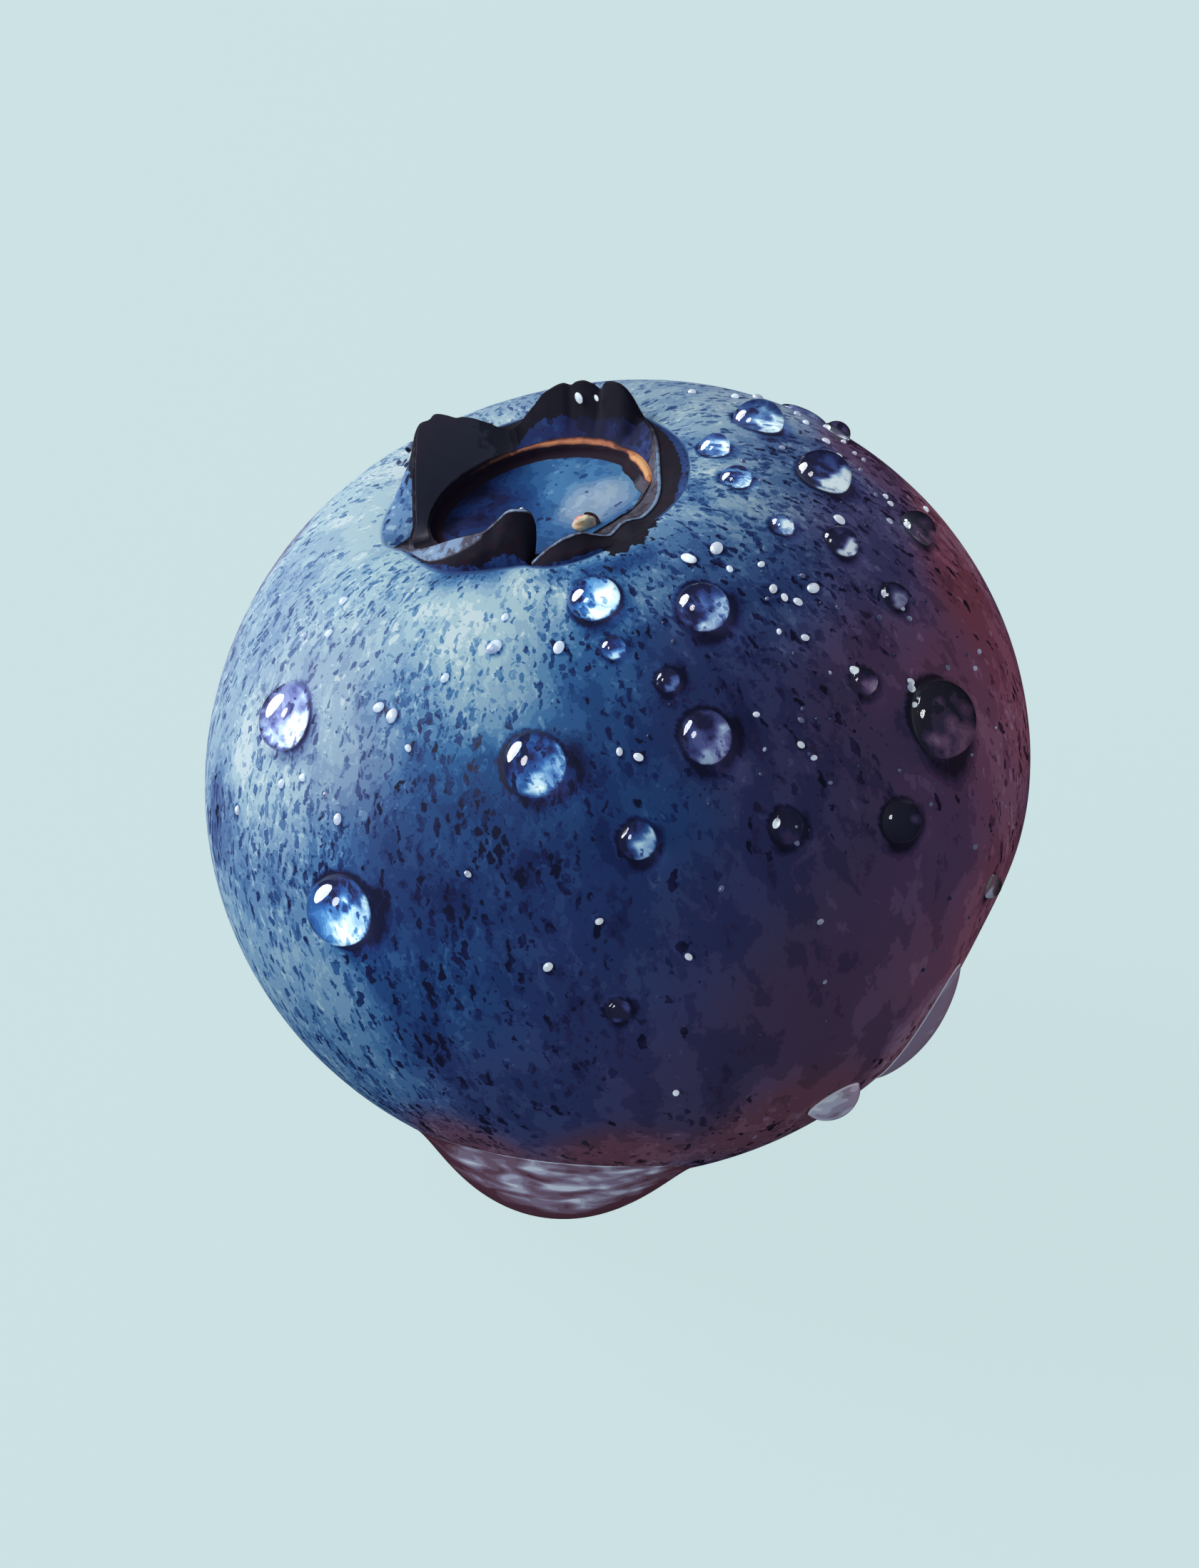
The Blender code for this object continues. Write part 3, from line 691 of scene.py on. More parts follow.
def wetRingsAndPaintedBeadLight(towards, waxAndPaintedLight):
    # what a bead does to the skin: a dark ring where it stands, of wet skin and painted contact
    # shade, painted shade on the lamp's side, the painted light it gathers on the far side from the
    # lamp, and its painted shadow beyond
    level = np.array(upright @ lightFrom)
    eye = np.array(upright) @ np.array(towardsEye)
    size = grown["equatorRadius"]
    for middle, half, *_, gathered, dark in allBeads + smallWithPaintedLight:
        middle = np.array(middle)
        near = np.nonzero(towards @ middle > math.cos(wetAndPaintedBeadLook["reach"] * half / size))[0]
        away = middle * (level @ middle) - level
        away /= np.linalg.norm(away)
        beyond = towards[near] @ away * (size / half)
        aside = towards[near] @ np.cross(middle, away) * (size / half)
        angle = np.arctan2(aside, beyond)
        wavy = 1 + 0.05 * np.cos(2 * angle + half * 4e4) + 0.03 * np.cos(3 * angle + half * 9e4)
        out = np.hypot(beyond, aside) / wavy
        spots = [Vector(towards[i]) for i in near]
        mottle = np.array([noise.noise(spot * 30) + 0.4 * noise.noise(spot * 62) for spot in spots])
        # under the bead: the skin's mottle, less painted shade over all of it and more on the lamp's side
        change = mottle * wetAndPaintedBeadLook["mottle"] - dark - wetAndPaintedBeadLook["darkTowardsLamp"] * ease(0.15, -0.6, beyond)
        change = ease(1.0, 0.9, out) * change
        # painted light that the bead gathers, a crescent on the far side from the lamp
        paintedCrescent = ease(0.10, 0.26, beyond - 0.22 * aside * aside + mottle * 0.34) * ease(0.96, 0.84, out)
        change += gathered * wetAndPaintedBeadLook["paintedCrescent"] * paintedCrescent
        # the dark ring where the bead stands: wet skin and painted contact shade
        change -= wetAndPaintedBeadLook["contactRing"] * ease(0.82, 0.93, out) * ease(1.20, 1.05, out)
        # the bead's painted shadow on the skin beyond it
        behind = ease(-0.1, 0.7, beyond / np.maximum(out, 0.1))
        change -= wetAndPaintedBeadLook["paintedShadow"] * ease(0.9, 1.0, out) * ease(1.85, 1.1, out) * behind
        waxAndPaintedLight[near] += change * (wetAndPaintedBeadLook["hidden"] if middle @ eye < -0.02 else 1)


crownLook = {
    "wax": 0.07,
    "blush": 0.1,
    "foldWax": 0.38,  # more wax on the bare fold at the left
    "border": 0.3,  # over how much of the height the black comes in
    "black": 0.08,  # how pale the black tissue is
    "wallPale": 0.50,  # the bowl's wall at the right
    "cutPale": 0.44,  # the cork beside it
    "bowlGrain": 0.08,
    "bowlPaintedLightSpread": 0.78 * mm,
}


def paintBerry(berry):
    # how much wax with painted light and shade, blush, dryness, paleness, scar, grain and dullness
    # each point has, and where it is along the streaks
    mesh = berry.data
    count = len(mesh.vertices)
    read = {}
    for name in ("around", "zone", "share"):
        read[name] = np.zeros(count, dtype=np.int32 if name == "zone" else np.float32)
        mesh.attributes[name].data.foreach_get("value", read[name])
    places = np.zeros(count * 3, dtype=np.float32)
    mesh.vertices.foreach_get("co", places)
    back = np.array(placed.inverted())
    places = places.reshape(-1, 3).astype(float) @ back[:3, :3].T + back[:3, 3]
    towards = places / np.linalg.norm(places, axis=1)[:, None]
    facing = towards @ np.array(turned).T
    zone, share = read["zone"], read["share"]
    around = np.where(zone == zones["skin"], np.arctan2(towards[:, 0], -towards[:, 1]), read["around"])
    down = np.arccos(np.clip(towards[:, 2], -1, 1))

    held = np.full(count, farSide["hold"])
    waxAndPaintedLight = held * (farSide["wax"] + farSide["waxTurn"] * (facing @ np.array(waxAndLightSide)))
    flush = farSide["blush"] + farSide["blushBelow"] * ease(-0.4, -0.9, facing[:, 2])
    flush = held * (flush + farSide["blushRight"] * ease(0.2, 0.9, facing[:, 0]))
    for right, up, spread, wax, blush in waxAndPaintedLightPatches:
        weight = nearness(towards, right, up, spread)
        held, waxAndPaintedLight, flush = held + weight, waxAndPaintedLight + wax * weight, flush + blush * weight
    waxAndPaintedLight, flush = waxAndPaintedLight / held, flush / held
    # the sepals' painted shadows on the skin
    for right, up, spread, more in paintedSepalShadows:
        waxAndPaintedLight += more * nearness(towards, right, up, spread)
    grain = np.full(count, 1.0)
    for right, up, spread, more in plainPatches:
        grain += more * nearness(towards, right, up, spread)
    wetRingsAndPaintedBeadLight(towards, waxAndPaintedLight)

    dried, pale, scar = np.zeros(count), np.zeros(count), np.zeros(count)
    matt = (zone > zones["skin"]).astype(float)  # the crown's tissue and the bowl have no shine
    black, border = crownLook["black"], crownLook["border"]
    for i in np.nonzero((zone > zones["skin"]) & (zone < zones["bowl"]))[0]:
        degrees = math.degrees(around[i]) % 360
        blackFrom, paleFrom, outsidePale, insideBlack, insidePale, edgePale = along(sepalDryingAndShade, degrees)
        leftOfBack = smooth(300, 285, degrees)
        grain[i], flush[i], waxAndPaintedLight[i] = 1.0, crownLook["blush"], crownLook["wax"]
        if zone[i] == zones["outside"]:
            # on the front-left sepal the pale lip is painted light, and the black below it is partly painted
            # shade
            dried[i] = 0.5 + (share[i] - blackFrom) / border
            pale[i] = black + (outsidePale - black) * smooth(paleFrom - 0.08, paleFrom + 0.08, share[i])
            waxAndPaintedLight[i] += 0.10 + crownLook["foldWax"] * smooth(235, 250, degrees) * leftOfBack
        elif zone[i] == zones["inside"]:
            dried[i] = 0.5 + (share[i] - insideBlack) / border
            pale[i] = insidePale
            grain[i] -= 0.85 * smooth(110, 128, degrees) * leftOfBack  # dried flat and even
        elif zone[i] == zones["edge"]:
            dried[i], pale[i] = 1, edgePale
        else:
            # the cork's brightness round the ring is painted light and shade
            scar[i] = along(scarRing, degrees)[1] * (share[i] < 0.95)
            dried[i] = 1
            pale[i] = crownLook["cutPale"] * smooth(50, 62, degrees) * smooth(100, 88, degrees)
    # black husk colour laid on the skin before the low sepal: its dried tissue and painted shade
    for right, up, spread in blackTissueAndShadePatches:
        near = 1.15 * nearness(towards, right, up, spread) * (zone <= zones["outside"])
        dried, pale = np.maximum(dried, near), np.where(near > 0.2, 0.10, pale)
    bowl = zone == zones["bowl"]
    degrees = np.degrees(around) % 360
    wall = ease(0.085, 0.068, share)
    mottledWall = wall * ease(48, 60, degrees) * ease(104, 92, degrees)
    # painted light and shade on the bowl's floor: darker at the left under the tall sepal, paler to the
    # right, with a painted pool of light
    fromPale = np.linalg.norm(places - np.array(bowlPaintedLight), axis=1) / crownLook["bowlPaintedLightSpread"]
    paintedPoolOfLight = np.exp(-(fromPale**6))
    bowlLightAndShade = 0.05 + 0.42 * ease(-1.2, 0.9, places[:, 0] / mm) + 0.26 * paintedPoolOfLight
    waxAndPaintedLight = np.where(bowl, bowlLightAndShade, waxAndPaintedLight)
    flush = np.where(bowl, 0.22 * paintedPoolOfLight, flush)
    dried = np.where(bowl, wall, dried)
    pale = np.where(bowl, crownLook["wallPale"] * mottledWall, pale)
    grain = np.where(bowl, crownLook["bowlGrain"], grain)

    size = grown["equatorRadius"]
    wide = size / mm * (0.4 + 0.6 * np.sin(down))  # keeps the streaks' width near the crown
    streak = np.stack((np.cos(around) * wide, np.sin(around) * wide, down * size / mm), axis=1)
    # dried tissue and the bowl have no streaks: there the pattern goes by place
    streak = np.where((zone > zones["skin"])[:, None], places / mm, streak)
    names = ("waxAndPaintedLight", "flush", "dried", "pale", "scar", "grain", "matt")
    for name, values in zip(names, (waxAndPaintedLight, flush, dried, pale, scar, grain, matt)):
        layer = mesh.attributes.new(name, "FLOAT", "POINT")
        layer.data.foreach_set("value", np.clip(values, 0, 1).astype(np.float32))
    layer = mesh.attributes.new("streak", "FLOAT_VECTOR", "POINT")
    layer.data.foreach_set("vector", streak.astype(np.float32).ravel())
    for name in ("around", "zone", "share"):
        mesh.attributes.remove(mesh.attributes[name])


def stepped(tones, soft=0.008):
    # tones that lie side by side with narrow borders, as wax does that has come off in layers
    stops = [tones[0]]
    for (_, before), (start, colour) in zip(tones, tones[1:]):
        stops += [(start - soft, before), (start + soft, colour)]
    return stops


def grainLayer(tree, vector, coverage, scale, least, most):
    # separate grains with crisp rims: how much of one is there, and a number of its own
    cells = add(tree, "TexVoronoi", {"Vector": vector, "Scale": scale, "Randomness": 1.0}).node
    own = add(tree, "SeparateColor", {"Color": cells.outputs["Color"]}).node.outputs
    there = add(tree, "Math", (own[0], coverage), operation="LESS_THAN")
    reach = add(tree, "MapRange", (own[1], 0, 1, least, most))
    inside = add(tree, "Math", (reach, cells.outputs["Distance"]), operation="SUBTRACT")
    crisp = add(tree, "MapRange", (inside, -0.02, 0.03), interpolation_type="SMOOTHSTEP")
    return add(tree, "Math", (crisp, there), operation="MULTIPLY"), own[2]


skinTones = {
    "waxed": (
        (0.00, "#1f2342"), (0.04, "#262c5a"), (0.09, "#243a72"), (0.16, "#254a86"), (0.25, "#295893"),
        (0.35, "#386ca6"), (0.45, "#4d84b7"), (0.55, "#699ac4"), (0.65, "#88b0d0"), (0.75, "#a2c4d8"),
        (0.85, "#b9d7e0"), (0.95, "#dcecef"),
    ),
    "blushed": (
        (0.00, "#2f2730"), (0.06, "#4b3540"), (0.14, "#643e4a"), (0.24, "#7b4a56"), (0.35, "#915665"),
        (0.46, "#a36777"), (0.56, "#ab7f92"), (0.66, "#b195ad"), (0.78, "#bcb4cb"),
    ),
    "husk": (
        (0.00, "#2b1d2a"), (0.05, "#201d2b"), (0.26, "#34323e"), (0.36, "#48434f"), (0.46, "#615b69"),
        (0.60, "#737f9a"), (0.66, "#8ea6c6"), (0.80, "#b4cad9"),
    ),
    "cork": ((0.1, "#4a3036"), (0.26, "#86503f"), (0.42, "#c47c60"), (0.62, "#dc8f64"), (0.86, "#f2b57c")),
}  # fmt: skip


# Blueberry skin under wax bloom: grown, waxed, then rinsed. The wax is a pale, dull film with
# grains worn out of it along the fruit. Where it has gone the skin is near black and blushes to
# maroon, and its gloss is faint beside the water's. The sepals are dried to black husk, and the
# scar ring is tan cork
# The wax tone also carries painted light and shade: thicker wax on the lit side, the sepals' painted shadows,
# the beads' painted light and shade, and the bowl's painted light
def makeBerrySkin():
    material, tree = startMaterial("blueberrySkinUnderWaxBloom")
    streak = add(tree, "Attribute", attribute_name="streak", out="Vector")
    waxAndPaintedLight, flush, dried, pale, scar, grain, matt = (
        add(tree, "Attribute", attribute_name=name, out="Fac")
        for name in ("waxAndPaintedLight", "flush", "dried", "pale", "scar", "grain", "matt")
    )
    place = add(tree, "TexCoord", out="Object")
    wander = add(tree, "TexNoise", {"Vector": streak, "Scale": 2.0, "Detail": 1.0}, out="Color")
    curl = add(tree, "TexNoise", {"Vector": streak, "Scale": 8.0, "Detail": 1.0}, out="Color")
    bent = streak
    for bend, far in ((wander, 0.36), (curl, 0.16)):
        bent = add(tree, "VectorMath", (bend, (far, far, far), bent), operation="MULTIPLY_ADD")
    # grains run from the crown to the stem, 0.10 to 0.15 mm wide and two to three times as long
    drawnOut, shifted, smeared = (
        add(tree, "Mapping", {"Vector": bent, "Location": start, "Scale": (1, 1, drawn)})
        for start, drawn in (((0, 0, 0), 0.40), ((31, 17, 5), 0.46), ((3, 7, 55), 0.55))
    )
    drifts = add(tree, "TexNoise", {"Vector": smeared, "Scale": 1.1, "Detail": 4, "Roughness": 0.62})
    # (each range here: what goes in, its low and high, and the low and high that come out)
    drift = add(tree, "MapRange", (drifts, 0.3, 0.7, -0.12, 0.12))
    tone = add(tree, "Math", (waxAndPaintedLight, drift), operation="ADD")
    # the grains come off in drifts too, so that bare stretches lie between crowded ones
    crowds = add(tree, "TexNoise", {"Vector": place, "Scale": 420, "Detail": 2})
    crowding = add(tree, "MapRange", (crowds, 0.38, 0.62, 0.5, 1.15))
    crowded = add(tree, "Math", (grain, crowding), operation="MULTIPLY")
    waxy = add(tree, "MapRange", (waxAndPaintedLight, 0.15, 0.45, 0.3))
    for vector, share, scale, least, most, weak, strong in (
        # drawn along, share of cells with a grain, cells in a mm, its reach, and its change of tone
        (smeared, 0.75, 3.0, 0.30, 0.52, -0.08, 0.10),
        (shifted, 0.85, 6.2, 0.30, 0.54, 0.20, -0.26),
        (bent, 0.70, 9.5, 0.30, 0.50, -0.24, 0.16),
        (drawnOut, 0.88, 5.8, 0.30, 0.54, -0.16, -0.46),
    ):
        coverage = add(tree, "Math", (crowded, share), operation="MULTIPLY")
        grains, own = grainLayer(tree, vector, coverage, scale, least, most)
        change = add(tree, "MapRange", (own, 0, 1, weak, strong))
        change = add(tree, "Math", (change, waxy), operation="MULTIPLY")
        tone = add(tree, "Math", (grains, change, tone), operation="MULTIPLY_ADD")
    waxed = add(tree, "ValToRGB", {"Fac": tone}, stepped(skinTones["waxed"]))
    blushed = add(tree, "ValToRGB", {"Fac": tone}, stepped(skinTones["blushed"]))
    skin = add(tree, "Mix", {0: flush, 6: waxed, 7: blushed}, data_type="RGBA", out=2)
    crumpled = add(tree, "TexNoise", {"Vector": place, "Scale": 5200, "Detail": 3, "Roughness": 0.6})
    rough = add(tree, "MapRange", (crumpled, 0.3, 0.7, -0.14, 0.14))
    huskTone = add(tree, "Math", (rough, grain, pale), operation="MULTIPLY_ADD")
    husk = add(tree, "ValToRGB", {"Fac": huskTone}, stepped(skinTones["husk"]))
    driedEdge = add(tree, "Math", (rough, 2.2, dried), operation="MULTIPLY_ADD")
    driedMask = add(tree, "MapRange", (driedEdge, 0.47, 0.53), interpolation_type="SMOOTHSTEP")
    body = add(tree, "Mix", {0: driedMask, 6: skin, 7: husk}, data_type="RGBA", out=2)
    corkTone = add(tree, "Math", (rough, 0.7, scar), operation="MULTIPLY_ADD")
    cork = add(tree, "ValToRGB", {"Fac": corkTone}, stepped(skinTones["cork"]))
    corkMask = add(tree, "MapRange", (scar, 0.10, 0.22))
    colour = add(tree, "Mix", {0: corkMask, 6: body, 7: cork}, data_type="RGBA", out=2)
    waxiness = add(tree, "MapRange", (tone, 0.10, 0.5, 0.36, 0.8))
    roughness = add(tree, "Mix", {0: matt, 2: waxiness, 3: 0.9}, data_type="FLOAT")
    height = add(tree, "Math", (tone, crumpled), operation="ADD")
    bump = add(tree, "Bump", {"Height": height, "Strength": 0.2, "Distance": 0.02 * mm})
    shader = add(
        tree, "BsdfPrincipled",
        {
            "Base Color": colour,
            "Roughness": roughness,
            "IOR": 1.45,
            "Specular IOR Level": 0.04,
            "Normal": bump,
        },
    )
    add(tree, "OutputMaterial", {"Surface": shader})
    return material


berry = makeBerryShape()
paintBerry(berry)
berry.data.materials.clear()
berry.data.materials.append(makeBerrySkin())
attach(berry, "root")
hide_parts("berry")
print("the berry is grown:", len(berry.data.polygons), "faces")


# Small dried things on the crown, which are part of the berry
crumb = {"around": 44, "out": 1.42 * mm, "up": -0.19 * mm, "size": (0.23, 0.16, 0.17), "lumps": 0.30}
husk = {"out": 0.20 * mm, "thick": 0.035 * mm}
curls = (
    # around, distance from the axis, height over the ring, width, length, how far it rolls up
    (236.5, 2.42, 0.84, 0.17, 0.42, 230),
    (244.0, 2.48, 0.78, 0.16, 0.34, -200),
    (242.0, 2.40, 0.60, 0.14, 0.30, 190),
)


# Dried plant tissue, shrunk and browned in air: crisp patches of tan, rust and near black
def makeDriedTissue(name, tones, scale):
    material, tree = startMaterial(name)
    place = add(tree, "TexCoord", out="Object")
    patches = add(tree, "TexNoise", {"Vector": place, "Scale": scale, "Detail": 3})
    colour = add(tree, "ValToRGB", {"Fac": patches}, stepped(tones))
    bump = add(tree, "Bump", {"Height": patches, "Strength": 0.4, "Distance": 0.02 * mm})
    shader = add(
        tree, "BsdfPrincipled",
        {"Base Color": colour, "Roughness": 0.8, "Specular IOR Level": 0.2, "Normal": bump},
    )
    add(tree, "OutputMaterial", {"Surface": shader})
    return material


def crownPoint(around, out, up):
    # degrees round the axis, distance from it, and height over the scar ring
    return ringPoint(math.radians(around), out, crownRing["height"] + up)


def finishDried(piece, name, material):
    piece.name = piece.data.name = name
    piece.data.materials.clear()
    piece.data.materials.append(material)
    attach(piece, "root")


def makeStyleRemnant():
    # the lumpy tan stump of the style, with a curl of dark husk beside it
    clearPick()
    middle = crownPoint(crumb["around"], crumb["out"], crumb["up"])
    bpy.ops.mesh.primitive_uv_sphere_add(segments=28, ring_count=18, radius=mm)
    remnant = startPiece("styleRemnant")
    bm = bmesh.from_edit_mesh(remnant.data)
    for vert in bm.verts:
        lump = 1 + crumb["lumps"] * noise.noise(vert.co / mm * 1.7 + Vector((3, 1, 7)))
        lump += crumb["lumps"] * 0.5 * noise.noise(vert.co / mm * 4.1)
        size = Vector(crumb["size"])
        vert.co = placed @ (middle + Vector([vert.co[i] * size[i] * lump for i in range(3)]))
    bmesh.update_edit_mesh(remnant.data)
    bpy.ops.object.mode_set(mode="OBJECT")
    bpy.ops.object.shade_smooth()
    finishDried(
        remnant, "styleRemnant",
        makeDriedTissue(
            "driedStylePith",
            (
                (0.30, "#f08c7c"), (0.40, "#ffbf9c"), (0.47, "#ffe8c4"), (0.60, "#ffc78a"),
                (0.68, "#f08244"),
            ),
            3400,
        ),
    )
    clearPick()
    bpy.ops.mesh.primitive_torus_add(
        major_radius=husk["out"], minor_radius=husk["thick"], major_segments=36, minor_segments=10,
        rotation=(math.radians(62), 0, 0),
    )
    bpy.ops.object.transform_apply(location=False, rotation=True, scale=False)
    curl = startPiece("styleHusk")
    bpy.ops.mesh.select_all(action="SELECT")
    bpy.ops.mesh.bisect(plane_co=(0.02 * mm, 0, 0), plane_no=(1, 0, 0), clear_inner=True, use_fill=True)
    bm = bmesh.from_edit_mesh(curl.data)
    for vert in bm.verts:
        vert.co = placed @ middle + vert.co + Vector((0.06, -0.03, 0.0)) * mm
    bmesh.update_edit_mesh(curl.data)
    bpy.ops.mesh.select_all(action="SELECT")
    bpy.ops.mesh.normals_make_consistent(inside=False)
    bpy.ops.object.mode_set(mode="OBJECT")
    bpy.ops.object.shade_smooth_by_angle(angle=math.radians(50))
    finishDried(
        curl, "styleHusk",
        makeDriedTissue("driedStyleHusk", ((0.3, "#3a1f2a"), (0.48, "#4d2a36"), (0.6, "#6b3f4c")), 4200),
    )


def makeCurledTips():
    # strips that tore from the sepal's edge and rolled up as they dried
    tissue = makeDriedTissue(
        "curledSepalEdge",
        ((0.3, "#3a3f5c"), (0.42, "#6c7fa6"), (0.50, "#94a7c6"), (0.60, "#b7c7d8"), (0.70, "#4a5680")), 4200,
    )
    for number, (around, out, up, width, length, rolls) in enumerate(curls, 1):
        clearPick()
        bpy.ops.mesh.primitive_grid_add(x_subdivisions=5, y_subdivisions=18, size=mm)
        tip = startPiece("curledTip")
        bm = bmesh.from_edit_mesh(tip.data)
        outwards = directionAt(math.radians(around), math.pi / 2)
        sideways = Vector((0, 0, 1)).cross(outwards)
        start = crownPoint(around, out * mm, up * mm)
        for vert in bm.verts:
            across, share = vert.co.x / mm, vert.co.y / mm + 0.5
            turn = math.radians(rolls) * share
            radius = length / math.radians(abs(rolls)) * mm * (1 - 0.3 * share)
            rise, run = radius * math.sin(abs(turn)), radius * (1 - math.cos(turn))
            place = start + sideways * across * width * mm * (1 - 0.35 * share)
            place += Vector((0, 0, 1)) * rise * (1 if rolls > 0 else -0.7) + outwards * (run + 0.05 * mm)
            vert.co = placed @ crinkled(place, 0.02 * mm, 2)
        bmesh.update_edit_mesh(tip.data)
        bpy.ops.object.mode_set(mode="OBJECT")
        wall = tip.modifiers.new("wall", "SOLIDIFY")
        wall.thickness, wall.offset = 0.03 * mm, 0
        bpy.ops.object.modifier_apply(modifier="wall")
        bpy.ops.object.shade_smooth()
        finishDried(tip, f"curledTip{number}", tissue)


makeStyleRemnant()
makeCurledTips()
print("the dried remnant and curled tips are on the crown")


# The water. Clear, formed by rinsing: it bends what lies under it and carries small bright glints
def makeWater():
    material = bpy.data.materials.new("clearRinsingWater")
    material.use_nodes = True
    shader = material.node_tree.nodes["Principled BSDF"]
    shader.inputs["Base Color"].default_value = linear("#ffffff")
    shader.inputs["Roughness"].default_value = 0.0
    shader.inputs["IOR"].default_value = 1.333
    shader.inputs["Transmission Weight"].default_value = 1.0
    return material


# The finest drops of a rinse: each is a lens too small to see into, so it shows as a pale dot, a painted
# glint with a painted glow
def makeFineWater():
    material, tree = startMaterial("fineRinsingSpray")
    place = add(tree, "TexCoord", out="Object")
    milky = add(tree, "TexNoise", {"Vector": place, "Scale": 3200, "Detail": 1})
    shine = add(tree, "Attribute", attribute_name="shine", out="Fac")
    tone = add(tree, "Math", (milky, 0.4, shine), operation="MULTIPLY_ADD")
    shade = add(
        tree, "ValToRGB", {"Fac": tone},
        stepped((
            (0.0, "#4d4f78"), (0.28, "#6c7299"), (0.40, "#8f96b8"), (0.52, "#b3bdd4"), (0.66, "#dfe8ef"),
        )),
    )
    glow = add(tree, "MapRange", (tone, 0.35, 0.85, 0.0, 0.5))
    shader = add(
        tree, "BsdfPrincipled",
        {
            "Base Color": shade,
            "Roughness": 0.1,
            "IOR": 1.333,
            "Transmission Weight": 0.3,
            "Emission Color": shade,  # a painted glow for the window's light, gathered to one dot
            "Emission Strength": glow,
        },
    )
    add(tree, "OutputMaterial", {"Surface": shader})
    return material


# Water that hangs and runs, pulled by its own weight: its mauve is painted for the maroon skin seen
# through it, the light that ripples break in it is painted as pale streaks, its far edge has painted
# shade, and a painted glow stands for the light inside it
def makeRippledWater():
    material, tree = startMaterial("rippledHangingWater")
    place = add(tree, "TexCoord", out="Object")
    depth = add(tree, "Attribute", attribute_name="depth", out="Fac")
    choppy = add(tree, "Attribute", attribute_name="choppy", out="Fac")
    level = add(tree, "Mapping", {"Vector": place, "Scale": (0.62, 0.62, 2.0)})
    waves = add(
        tree, "TexNoise",
        {"Vector": level, "Scale": 2300, "Detail": 1.2, "Roughness": 0.5, "Distortion": 0.4},
    )
    tone = add(tree, "Mix", {0: choppy, 2: 0.47, 3: waves}, data_type="FLOAT")
    tone = add(tree, "Math", (tone, depth), operation="ADD")
    # painted light: dark mauve tones for the skin seen through, pale ones for the streaks of broken light
    tint = add(
        tree, "ValToRGB", {"Fac": tone},
        stepped((
            (0.00, "#5f3b49"), (0.28, "#70505f"), (0.37, "#80667a"), (0.45, "#8f7d94"), (0.52, "#a49bb1"),
            (0.575, "#bfbfd2"), (0.64, "#dde2ec"),
        )),
    )
    ripple = add(tree, "Bump", {"Height": waves, "Strength": 0.1, "Distance": 0.03 * mm})
    shader = add(
        tree, "BsdfPrincipled",
        {
            "Base Color": tint,
            "Roughness": 0.08,
            "IOR": 1.333,
            "Transmission Weight": 0.12,
            "Emission Color": tint,  # a painted glow for the light that runs about inside the water
            "Emission Strength": 0.19,
            "Normal": ripple,
        },
    )
    add(tree, "OutputMaterial", {"Surface": shader})
    return material


water, fineWater, rippledWater = makeWater(), makeFineWater(), makeRippledWater()
waterLies = {
    "sunk": 0.03 * mm,  # how deep a drop's underside stands in the skin
    "hairline": 0.02 * mm,
    "easedFrom": 0.35 * mm,  # below this height, water is eased up from the lowest to clear the floor
    "lowest": -0.11 * mm,
    "clearOfFloor": 0.02 * mm,
    "undersideDepth": 0.4,  # of a unit drop
}


def makeUnitDrop(name, segments, rings):
    # a dome over a shallow underside, one unit in radius and height
    clearPick()
    bpy.ops.mesh.primitive_uv_sphere_add(segments=segments, ring_count=rings, radius=1)
    drop = startPiece(name)
    bm = bmesh.from_edit_mesh(drop.data)
    for vert in bm.verts:
        vert.select = vert.co.z < -0.01
    bm.select_flush_mode()
    bpy.ops.transform.resize(value=(0.9, 0.9, waterLies["undersideDepth"]))
    bpy.ops.object.mode_set(mode="OBJECT")
    bpy.ops.object.shade_smooth()
    return drop


def layOnSkin(drop, middle, halfWidth, halfLength, height, fullness, turn=0):
    # bends a unit drop on to the skin round this direction; its length runs downhill
    up = upright @ Vector((0, 0, 1))
    level = middle.cross(up).normalized()
    downhill = level.cross(middle).normalized() * -1
    size = grown["equatorRadius"]
    cosine, sine = math.cos(turn), math.sin(turn)
    for vert in drop.data.vertices:
        x, y, z = vert.co
        across, down = x * halfWidth / size, y * halfLength / size
        across, down = across * cosine - down * sine, across * sine + down * cosine
        towards = (middle + level * across + downhill * down).normalized()
        sunk = z * waterLies["sunk"] / waterLies["undersideDepth"]
        lift = height * z ** (2 * fullness) if z > 0 else sunk
        place = towards * (skinRadius(towards) + waterLies["hairline"] * max(0, z) + lift)
        vert.co = placed @ place


def finishWater(drop, name, node=None, material=water):
    drop.name = drop.data.name = name
    drop.data.materials.clear()
    drop.data.materials.append(material)
    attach(drop, "root")
    if node:
        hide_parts(node)


def giveAll(piece, name, value):
    layer = piece.data.attributes.new(name, "FLOAT", "POINT")
    layer.data.foreach_set("value", [value] * len(piece.data.vertices))


def joined(pieces):
    clearPick()
    for piece in pieces:
        piece.select_set(True)
    bpy.context.view_layer.objects.active = pieces[0]
    bpy.ops.object.join()
    return bpy.context.object


def copied(source):
    clearPick()
    source.select_set(True)
    bpy.context.view_layer.objects.active = source
    bpy.ops.object.duplicate()
    return bpy.context.object


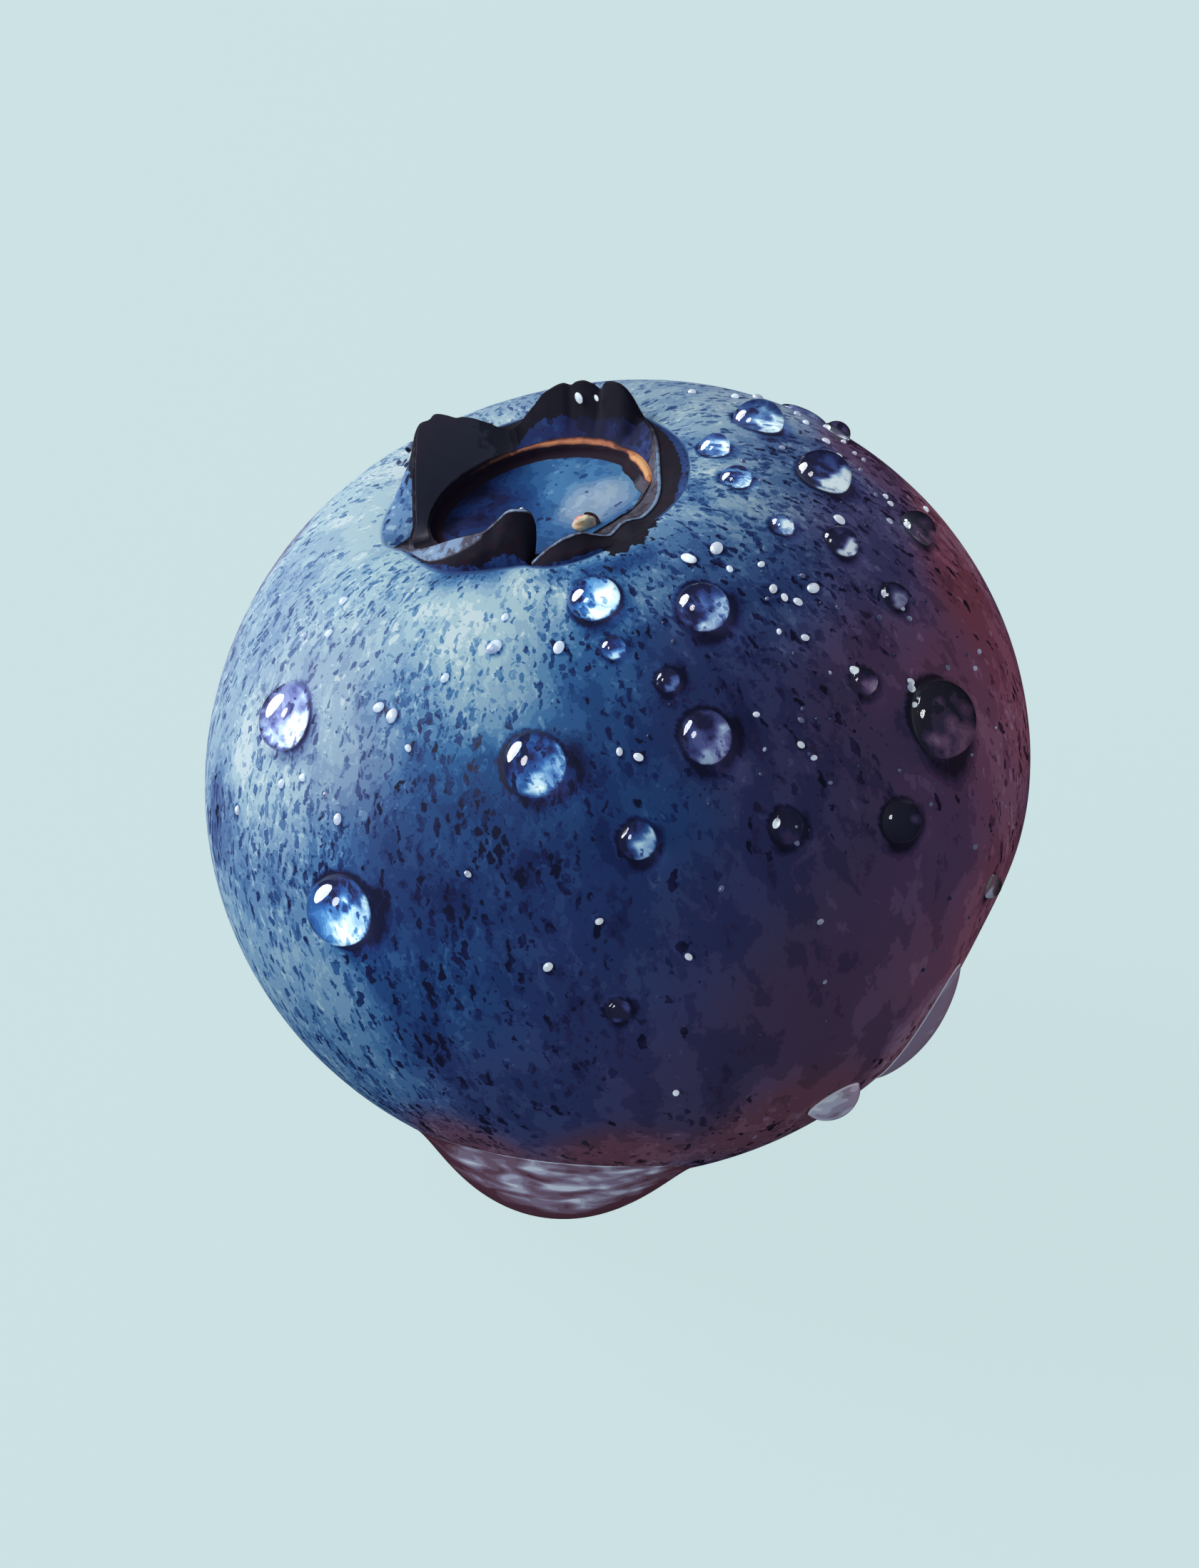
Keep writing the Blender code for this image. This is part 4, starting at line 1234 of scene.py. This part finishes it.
# The large drops: where the front view has their middle, half width and length, height, how
# full they are, their painted tone, how much painted ripple streaks break it up, and how much
# painted shade darkens the far edge
hangingDrop = {
    "right": -1.25, "up": -7.58, "half": (2.95, 1.60), "height": 0.86, "fullness": 1.5,
    "tone": 0.0, "choppy": 1.0, "dark": 0.35, "darkFrom": 0.60,
}
sideDrop = {
    "right": 4.10, "up": -6.15, "half": (0.62, 0.50), "height": 0.34, "fullness": 0.7,
    "tone": 0.12, "choppy": 0.45, "dark": 0.20, "darkFrom": 0.36,
}
waterRun = {
    "right": 5.85, "up": -4.80, "half": (0.75, 1.80), "height": 0.20, "fullness": 0.8,
    "tone": 0.03, "choppy": 0.12, "dark": 0.20, "darkFrom": 0.20,
}
spray = {"count": 55, "least": 0.04 * mm, "most": 0.09 * mm, "seed": 11}
# Beads inside the crown: angle, distance from the axis, height over the ring, width
sepalBeads = ((154.4, 2.53, 0.60, 0.19), (145.1, 2.53, 0.63, 0.11), (2.0, 1.93, 0.92, 0.10))


def layBeads():
    unitBead = makeUnitDrop("unitBead", 32, 24)
    for number, (middle, half, longer, turn, *_) in enumerate(allBeads, 1):
        bead = copied(unitBead)
        height = half * 2 * beadShape["height"]
        if number > len(beads) and (turned @ middle).dot(towardsEye) > -0.5:
            height *= 0.25  # spread thin near the rim, where the front view shows no bead
        layOnSkin(bead, middle, half, half * longer, height, beadShape["fullness"], math.radians(turn))
        finishWater(bead, f"waterBead{number:02d}", f"water_bead_{number:02d}")
    bpy.data.objects.remove(unitBead)


def layLargeDrops():
    unitDrop = makeUnitDrop("unitDrop", 96, 64)
    eased, lowest, low = (waterLies[name] for name in ("easedFrom", "lowest", "clearOfFloor"))
    for name, node, drop in (
        ("hangingDrop", "hanging_drop", hangingDrop),
        ("sideDrop", "side_drop", sideDrop),
        ("waterRun", "water_run", waterRun),
    ):
        piece = copied(unitDrop)
        rise = [max(0, vert.co.z) for vert in piece.data.vertices]
        halfWidth, halfLength = (half * mm for half in drop["half"])
        middle = seenAt(drop["right"], drop["up"])
        layOnSkin(piece, middle, halfWidth, halfLength, drop["height"] * mm, drop["fullness"])
        for vert in piece.data.vertices:
            if vert.co.z < eased:
                vert.co.z = low + (eased - low) * ((vert.co.z - lowest) / (eased - lowest))
        piece.data.update()
        # painted shade where the surface turns away from the front, with a painted pale line of light where
        # it meets the skin
        edge = drop["darkFrom"]
        depth = piece.data.attributes.new("depth", "FLOAT", "POINT")
        depth.data.foreach_set("value", [
            drop["tone"] + 0.18 * smooth(0.24, 0.12, height)
            - drop["dark"] * smooth(edge, edge - 0.3, vert.normal.dot(towardsEye))
            for vert, height in zip(piece.data.vertices, rise)
        ])
        giveAll(piece, "choppy", drop["choppy"])
        finishWater(piece, name, node, rippledWater)
    bpy.data.objects.remove(unitDrop)


def layFineDrops():
    # small beads on the skin and in the crown, then the spray
    unitSmall, unitSpeck = makeUnitDrop("unitSmallBead", 14, 10), makeUnitDrop("unitSpeck", 8, 6)
    draw = random.Random(spray["seed"])
    full = beadShape["fullness"]
    small = []
    for right, up, width in smallBeads:
        small.append(copied(unitSmall))
        half = width / 2 * mm
        layOnSkin(small[-1], seenAt(right, up), half * 0.9, half * 1.2, half * 0.5, full, right * 3)
        shine = draw.uniform(0.47, 0.62) if width > 0.13 else draw.uniform(0.15, 0.55)
        giveAll(small[-1], "shine", shine)
    for around, out, up, width in sepalBeads:
        small.append(copied(unitSmall))
        middle = crownPoint(around, out * mm, up * mm)
        inwards = directionAt(math.radians(around), math.pi / 2) * -1
        sideways = inwards.cross(Vector((0, 0, 1)))
        half = width / 2 * mm
        for vert in small[-1].data.vertices:
            x, y, z = vert.co
            place = middle + sideways * x * half * 0.8 + Vector((0, 0, y * half * 1.35))
            vert.co = placed @ (place + inwards * z * half * 0.5)
        giveAll(small[-1], "shine", 0.9)
    finishWater(joined(small), "smallBeads", material=fineWater)
    specks = []
    while len(specks) < spray["count"]:
        # most of the spray lies on the side that was turned to it, and none in the crown
        right, up = draw.gauss(4.2, 2.0), draw.gauss(3.0, 3.2)
        if math.hypot(right, up) > 7.3 or math.hypot(right + 1.5, up - 5.2) < 2.9:
            continue
        specks.append(copied(unitSpeck))
        half = draw.uniform(spray["least"], spray["most"]) / 2
        longer = half * draw.uniform(1, 1.6)
        layOnSkin(specks[-1], seenAt(right, up), half, longer, half * 0.5, 0.5, draw.uniform(0, 3))
        giveAll(specks[-1], "shine", draw.uniform(-0.1, 0.35))
    finishWater(joined(specks), "fineSpray", material=fineWater)
    for unit in (unitSmall, unitSpeck):
        bpy.data.objects.remove(unit)


layBeads()
layLargeDrops()
layFineDrops()
print("the water is on")
